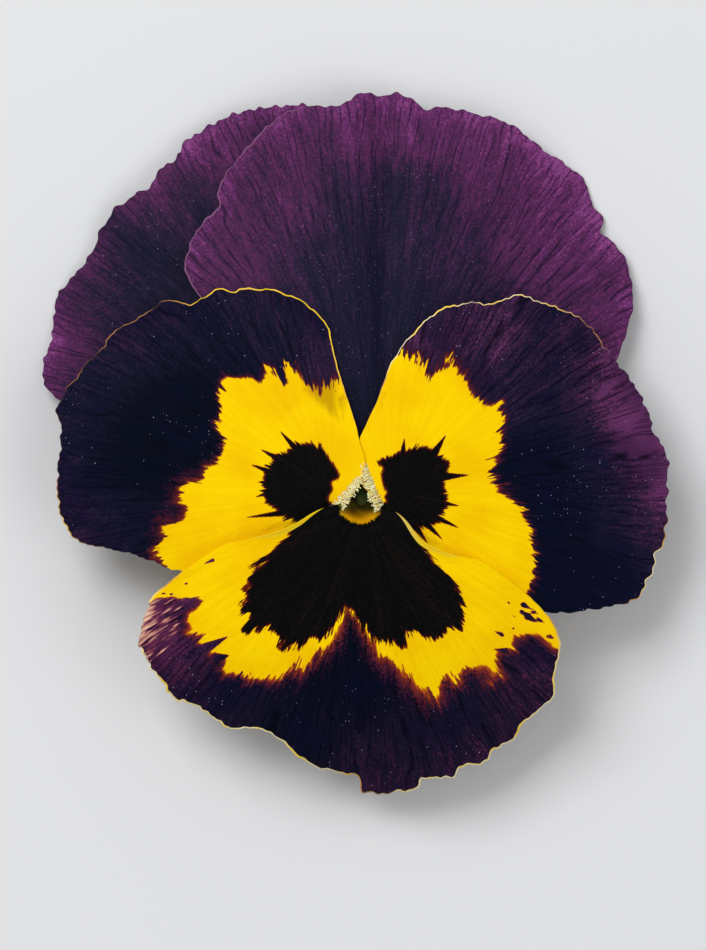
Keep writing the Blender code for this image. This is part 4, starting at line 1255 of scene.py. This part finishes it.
def close_marked(place, material, shader, s, colour):
    close_skin(petals[place], material, shader, s, colour, (0.5, 0.68), 0.000012, 0.000012)


def dress_lateral(place, name, seed, night, rims, side):
    material, tree, shader, s, colour = marked_skin(
        name, place, seed, night, THIN_LATERAL, 0.9, 0.5, 14.0, rims, side)
    close_marked(place, material, shader, s, colour)


def dress_lower():
    material, tree, shader, s, colour = marked_skin(
        "marked_skin_lower", "lower", 17.0, NIGHT_LOWER, THIN_LOWER, 0.75, 0.65, 16.0, RIM_CREAM,
        rim_width=0.18, spots=True)
    pale = stored(tree, "pale")
    share = ray_noise(s["Angle"], 100.0, s["Radius"], 0.45, 3.0, 3.0) + pale * 0.2
    share = share + pale * ease(s["Edge"], 0.2, 1.2, 0.08, 0.0) + 0.5
    share = share * ease(pale, 0.02, 0.3) * ease(stored(tree, "gold"), 0.0, 0.6, 1.0, 0.0)
    thread = mix_tones(ease(share, 0.62, 0.86), tone(122, 40, 68), tone(234, 184, 156))
    colour = mix_tones(ease(share, 0.57, 0.7), colour, thread)
    x, y, _ = parts_of(s["Place"])
    right = mix_tones(ease(x, 4.8, 7.0), tone(226, 198, 92), tone(246, 206, 36))
    strip = mix_tones(ease(x, -1.0, 1.0), tone(242, 204, 30), right)
    colour = mix_tones(ease(stored(tree, "strip"), -0.05, 0.06), colour, strip)
    patch = use_group(
        tree, feathers, {**s, "Seed": 5.0}, Field=stored(tree, "patch"), Length=0.6, Fineness=11.0)["Field"]
    # Painted shade: the amber patch turns dark olive towards the mouth, where the throat falls into shade.
    amber_and_painted_shade = mix_tones(ease(y, -1.4, -0.3), tone(236, 172, 8), tone(104, 104, 36))
    amber_and_painted_shade = mix_tones(ease(stored(tree, "deep"), 0.0, 0.3), amber_and_painted_shade, tone(92, 112, 50))
    close_marked("lower", material, shader, s, mix_tones(ease(patch, -0.12, 0.15), colour, amber_and_painted_shade))


dress_lateral("lateral_left", "marked_skin_left", 11.0, NIGHT_LEFT, RIM_GOLD, -1.0)
dress_lateral("lateral_right", "marked_skin_right", 14.0, NIGHT_RIGHT, RIM_CREAM, 1.0)
dress_lower()
print("marked petals dressed")

# %% [markdown]
# ## Beards
#
# Beside the throat each lateral petal carries a band of short club hairs that keep rain and small thieves
# out. One hair is modelled and copied a few hundred times with seeded turns, into one mesh for each side.

# %% Beards
HAIR_LINE = (
    (0, 0, 0.0, 0.045), (0, 0, 0.3, 0.05), (0, 0, 0.7, 0.065), (0, 0, 0.92, 0.07), (0, 0, 1.0, 0.035),
)
HAIR_SIDES = 6
HAIRS = 190
BAND = 0.27


def unit(vector):
    return vector / np.linalg.norm(vector)


def comb(name, start, end, towards, height, seed):
    """A band of hairs from start to end that lie over each other and lean towards the throat."""
    rng = np.random.default_rng(seed)
    model = pull_tube("hair", HAIR_LINE, HAIR_SIDES)
    shape = np.array([v.co for v in model.data.vertices]) / MM
    faces = [tuple(p.vertices) for p in model.data.polygons]
    bpy.data.objects.remove(model)
    a, b = np.array(start), np.array(end)
    along = unit(b - a)
    lean = unit(np.array(towards))
    points = []
    corners = []
    for k in range(HAIRS):
        t = (k + rng.uniform(0.0, 1.0)) / HAIRS
        side = rng.uniform(-1.0, 1.0)
        foot = a + (b - a) * t + lean * (side * (BAND + 0.15 * t) - 0.35)
        size = rng.uniform(0.65, 1.0) * min(0.7 + t, 1.0)
        flat = lean * (0.9 + 0.2 * side) + along * rng.normal(0.0, 0.28)
        axis = unit(np.array((flat[0], flat[1], 0.45 + 0.25 * abs(rng.normal()))))
        first = unit(np.cross(axis, (0.3, 0.8, 0.2)))
        second = np.cross(axis, first)
        root = np.array((foot[0], foot[1], float(height(foot[0], foot[1], 0.0)) + 0.1))
        wide = rng.uniform(0.85, 1.2)
        ring = shape[:, :1] * first + shape[:, 1:2] * second
        points.append(root + wide * ring + size * shape[:, 2:] * axis)
        corners += [tuple(i + k * len(shape) for i in face) for face in faces]
    mesh = bpy.data.meshes.new(name)
    mesh.from_pydata((np.concatenate(points) * MM).tolist(), [], corners)
    band = add_object(name, mesh)
    merge_and_face(band, 0.00001)
    smooth(band)
    return band


def speckled(tree, scale, detail, low, high, light, dark):
    """Two tones in soft mottles of about 1/scale metres."""
    return mix_tones(ease(noise_of(object_place(tree), scale, detail), low, high), tone(*light), tone(*dark))


beards = {
    "left": comb("left_beard", (-0.15, 2.9), (-3.3, -0.8), (0.77, -0.64), height_lateral_left, 31),
    "right": comb("right_beard", (-0.12, 4.78), (1.95, -0.5), (-0.9, -0.43), height_lateral_right, 32),
}
cream, tree, shader = new_finish("cream_hairs", 0.5, 0.2, tone(255, 250, 230), 0.4, 0.3)
feed(shader["Base Color"], speckled(tree, 2600.0, 1.0, 0.3, 0.7, (255, 246, 204), (248, 226, 128)))
for band in beards.values():
    band.data.materials.append(cream)
print("beards:", [len(band.data.polygons) for band in beards.values()], "faces")

# %% [markdown]
# ## Pistil and stamens
#
# The ovary stands on the receptacle, ringed by five pressed-together anthers with dry orange tips. The style
# bends forward and ends in a hollow green head, which closes the throat.

# %% Pistil and stamens
PISTIL_LINE = (
    (0, 8.9, 0.4), (0, 9.1, 0.6), (0, 9.6, 0.74), (0, 10.1, 0.7), (0, 10.5, 0.5), (0.04, 10.8, 0.3),
    (0.15, 11.1, 0.24), (0.35, 11.45, 0.22), (0.65, 11.75, 0.24), (1, 12, 0.34), (1.25, 12.15, 0.55),
    (1.6, 12.22, 0.86), (2.1, 12.24, 1.08), (2.65, 12.15, 1.05), (3.05, 12.05, 0.75), (3.1, 11.95, 0.4),
)
STAMEN_LINE = (
    (1.2, 8.9, 0.14), (1.2, 9.05, 0.24), (1.22, 9.3, 0.33), (1.25, 9.7, 0.37), (1.24, 10.1, 0.36),
    (1.18, 10.45, 0.33), (1.08, 10.75, 0.24), (0.98, 10.95, 0.1),
)


def soften(piece):
    """One round of subdivision, applied, and smooth shading."""
    round_off = piece.modifiers.new("round_off", "SUBSURF")
    round_off.levels = 1
    round_off.render_levels = 1
    apply_modifier(piece, round_off)


def mottled_finish(name, light, dark, scale, roughness, specular=0.4, scatter=0.0):
    """Two tones in soft mottles, with a fine relief."""
    material, tree, shader = new_finish(name, roughness, specular=specular, scatter=scatter)
    grain = noise_of(object_place(tree), scale * 6.0)
    feed(shader["Base Color"], speckled(tree, scale, 3.0, 0.35, 0.65, light, dark))
    feed(shader["Roughness"], ease(grain, 0.3, 0.7, roughness - 0.08, roughness + 0.1))
    feed(shader["Normal"], bump(grain, 0.00003, 0.6))
    return material


def round_piece(name, stations, sides, finish):
    piece = pull_tube(name, stations, sides)
    soften(piece)
    piece.data.materials.append(finish)
    return piece


def stamen(number, finish):
    a = math.radians(-90 + 72 * number)
    stations = [(HUB[0] + math.cos(a) * d, HUB[1] + math.sin(a) * d, z, r) for d, z, r in STAMEN_LINE]
    return round_piece("anther_%d" % (number + 1), stations, 10, finish)


# Its own green, darkened as painted shade: the head sits deep in the throat, under the beards.
green = mottled_finish("pistil_green", (62, 76, 34), (42, 54, 26), 900.0, 0.7, 0.08, 0.2)
pistil = round_piece("pistil_body", [(HUB[0], HUB[1] - d, z, r) for d, z, r in PISTIL_LINE], 14, green)
orange = mottled_finish("anther_orange", (226, 168, 70), (170, 92, 30), 1200.0, 0.7)
stamens = [stamen(number, orange) for number in range(5)]
print("pistil and", len(stamens), "stamens")

# %% [markdown]
# ## Stalk and sepals
#
# The stalk is a juicy green stem, a little ridged, with a widened receptacle on top and two scale leaves on
# its run. The sepals are thin pointed leaves set on above their base, so each has a lobe that turns back.

# %% Stalk
STALK_LINE = (
    (0, 3.2, 8.6, 2.5), (0, 3.2, 8.45, 2.6), (0, 3.2, 8, 2.55), (0, 3.2, 7.5, 2.35), (0, 3.22, 7, 1.95),
    (0, 3.28, 6.6, 1.5), (0, 3.4, 6.2, 1.22), (0, 3.62, 5.7, 1.08), (0, 3.95, 5.1, 1), (0, 4.28, 4.5, 0.98),
    (0, 4.48, 3.8, 0.97), (0, 4.46, 3.15, 0.97), (0, 4.2, 2.5, 0.97), (0, 3.7, 1.9, 0.97),
    (0, 3, 1.42, 0.97), (0, 2.2, 1.12, 0.98), (0, 1.3, 0.99, 0.98), (0, 0, 0.98, 0.98),
    (-0.05, -1.5, 0.98, 0.98), (-0.2, -3, 0.98, 0.97), (-0.5, -5.5, 0.98, 0.97), (-0.9, -8, 0.98, 0.97),
    (-1.35, -10.5, 0.98, 0.98), (-1.7, -12, 1, 1.05), (-1.95, -13.2, 0.98, 0.98), (-2.5, -16, 0.98, 0.96),
    (-3.2, -19, 0.98, 0.96), (-3.9, -22, 0.98, 0.96), (-4.45, -24.4, 0.98, 0.98),
    (-4.58, -24.95, 0.98, 0.95), (-4.6, -25, 0.98, 0.88),
)
BRACT_LINE = ((0.0, 0.3), (0.12, 0.48), (0.35, 0.55), (0.6, 0.42), (0.85, 0.2), (1.0, 0.05))
RIDGES = 5
RIDGE_DEPTH = 0.05


def ridge_stalk(piece):
    """Shallow ridges along the stalk, pushed in and out by the angle about its own line."""
    line = np.array(STALK_LINE)
    points = np.array([v.co for v in piece.data.vertices]) / MM
    for i, p in enumerate(points):
        near = line[np.argmin(np.linalg.norm(line[:, :3] - p, axis=1))]
        out = p - near[:3]
        turn = math.atan2(out[2], out[0]) if near[2] < 1.5 else math.atan2(out[1], out[0])
        level = max(0.0, 1.0 - near[3] / 2.6)
        points[i] = p + out / max(np.linalg.norm(out), 1e-6) * RIDGE_DEPTH * math.cos(RIDGES * turn) * level
    points[:, 2] = np.maximum(points[:, 2], 0.0)
    set_points(piece, points)


def bract(side):
    """A small pointed scale leaf beside the stalk."""
    root = np.array((-1.75 + 0.7 * side, -12.0, 1.25))
    stations = [
        (*(root + np.array((1.5 * side * t, -2.5 * t, 0.9 * t - 0.35 * t * t))), r) for t, r in BRACT_LINE]
    leaf = pull_tube("bract", stations, 10, flat=0.35)
    soften(leaf)
    return leaf


def stalk_finish():
    """Fresh green with paler lines along the stem."""
    material, tree, shader = new_finish("stalk_green", 0.42, 0.05, specular=0.45, scatter=0.25)
    place = object_place(tree)
    stretched = add_node(tree, "Mapping", {"Vector": place, "Scale": (1500.0, 120.0, 1500.0)})
    lines = noise_of(stretched)
    colour = mix_tones(ease(lines, 0.35, 0.7), tone(96, 134, 58), tone(62, 104, 40))
    colour = mix_tones(ease(noise_of(place, 260.0), 0.4, 0.75), colour, tone(120, 110, 66))
    feed(shader["Base Color"], colour)
    feed(shader["Normal"], bump(lines, 0.00005, 0.7))
    return material


stalk = pull_tube("stalk_and_receptacle", STALK_LINE, 20)
soften(stalk)
ridge_stalk(stalk)
leaves = [bract(side) for side in (-1, 1)]
pick(stalk, *leaves)
bpy.ops.object.join()
stalk.data.materials.append(stalk_finish())
print("stalk:", len(stalk.data.polygons), "faces")

# %% Sepals
SEPAL_LINE = (
    (4.4, 4.2, 0.3), (4.2, 4.7, 0.85), (3.9, 5.4, 1.2), (3.5, 6.6, 1.3), (3.3, 7.5, 1.1), (3.6, 8.2, 1.1),
    (4.6, 8.6, 1.3), (6.6, 8.9, 1.9), (9, 9, 2.3), (11.4, 8.8, 2.1), (13.6, 8.4, 1.35), (15, 8.05, 0.6),
    (15.6, 7.9, 0.06),
)
SEPAL_TURNS = {"north": 90, "east": 14, "south_east": -47, "south_west": 227, "west": 166}
SEPAL_COLUMNS = 18
SEPAL_ROWS = 90
SEPAL_THICKNESS = 0.5
SEPAL_SIDE_SHARE = 0.35


def smooth_sepal_line():
    """The sepal's distance, height and half width at 200 places along it, with the corners rounded off."""
    line = np.array(SEPAL_LINE)
    steps = way_along(line[:, :2])
    fine = np.linspace(0.0, steps[-1], 200)
    blur = np.hanning(15)
    rows = [np.interp(fine, steps, line[:, k]) for k in range(3)]
    return fine, [np.convolve(np.pad(row, 7, mode="edge"), blur / blur.sum(), mode="valid") for row in rows]


def sepal(place, degrees):
    """A pointed leaf whose sheet runs along the sepal line, cupped across, with finely toothed sides."""
    sheet, across, up = grid_sheet("sepal_%s_leaf" % place, SEPAL_COLUMNS, SEPAL_ROWS)
    fine, (far, high, wide) = smooth_sepal_line()
    s = up * fine[-1]
    d, z, half, slope_d, slope_z = (
        np.interp(s, fine, row) for row in (far, high, wide, np.gradient(far, fine), np.gradient(high, fine)))
    c = across * 2.0 - 1.0
    half = half + 0.05 * np.sin(s * 7.0) * np.abs(c) ** 6
    lift = -0.12 * half * c * c + 0.07 * np.exp(-(c / 0.12) ** 2)
    a = math.radians(degrees)
    flat = d - slope_z * lift
    x = HUB[0] + math.cos(a) * flat - math.sin(a) * half * c
    y = HUB[1] + math.sin(a) * flat + math.cos(a) * half * c
    set_points(sheet, np.column_stack([x, y, z + slope_d * lift]))
    keep(sheet, "rib", np.exp(-(c / 0.1) ** 2))
    keep(sheet, "side", np.abs(c))
    keep(sheet, "along", up)
    apply_modifier(sheet, thicken(sheet, SEPAL_THICKNESS, SEPAL_SIDE_SHARE, 1.0 - np.abs(c) ** 3))
    return sheet


def sepal_finish():
    """Leaf green, paler along the rib and thin and pale at the sides, with violet at the tip."""
    material, tree, shader = new_finish("sepal_green", 0.5, 0.05, specular=0.4, scatter=0.15)
    colour = speckled(tree, 500.0, 3.0, 0.35, 0.7, (70, 112, 44), (46, 84, 32))
    colour = mix_tones(stored(tree, "rib") * 0.6, colour, tone(128, 158, 84))
    colour = mix_tones(ease(stored(tree, "side"), 0.8, 1.0, 0.0, 0.7), colour, tone(150, 170, 110))
    colour = mix_tones(ease(stored(tree, "along"), 0.8, 1.0, 0.0, 0.5), colour, tone(74, 52, 66))
    feed(shader["Base Color"], colour)
    feed(shader["Normal"], bump(noise_of(object_place(tree), 6000.0), 0.00003, 0.6))
    return material


leaf_green = sepal_finish()
sepals = {place: sepal(place, degrees) for place, degrees in SEPAL_TURNS.items()}
for leaf in sepals.values():
    leaf.data.materials.append(leaf_green)
print("sepals:", len(sepals))

# %% [markdown]
# ## Hand the pieces over
#
# Every piece rides on the one body, and the plain solid that it stands for is hidden.

# %% Hand over
PETAL_SLOTS = {"upper": "petal_violet", "lateral": "petal_marked", "lower": "petal_marked"}
pieces = [(petal, "petal_" + place, PETAL_SLOTS[place.split("_")[0]]) for place, petal in petals.items()]
pieces += [(band, "beard_" + side, "beard") for side, band in beards.items()]
pieces += [(pistil, "pistil", "pistil"), (stalk, "pedicel", "stalk")]
pieces += [(anther, "stamen_%d" % (i + 1), "anther") for i, anther in enumerate(stamens)]
pieces += [(leaf, "sepal_" + place, "sepal") for place, leaf in sepals.items()]
for piece, node, slot in pieces:
    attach(piece, "root")
    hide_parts(node)
print("pieces handed over:", len(pieces))
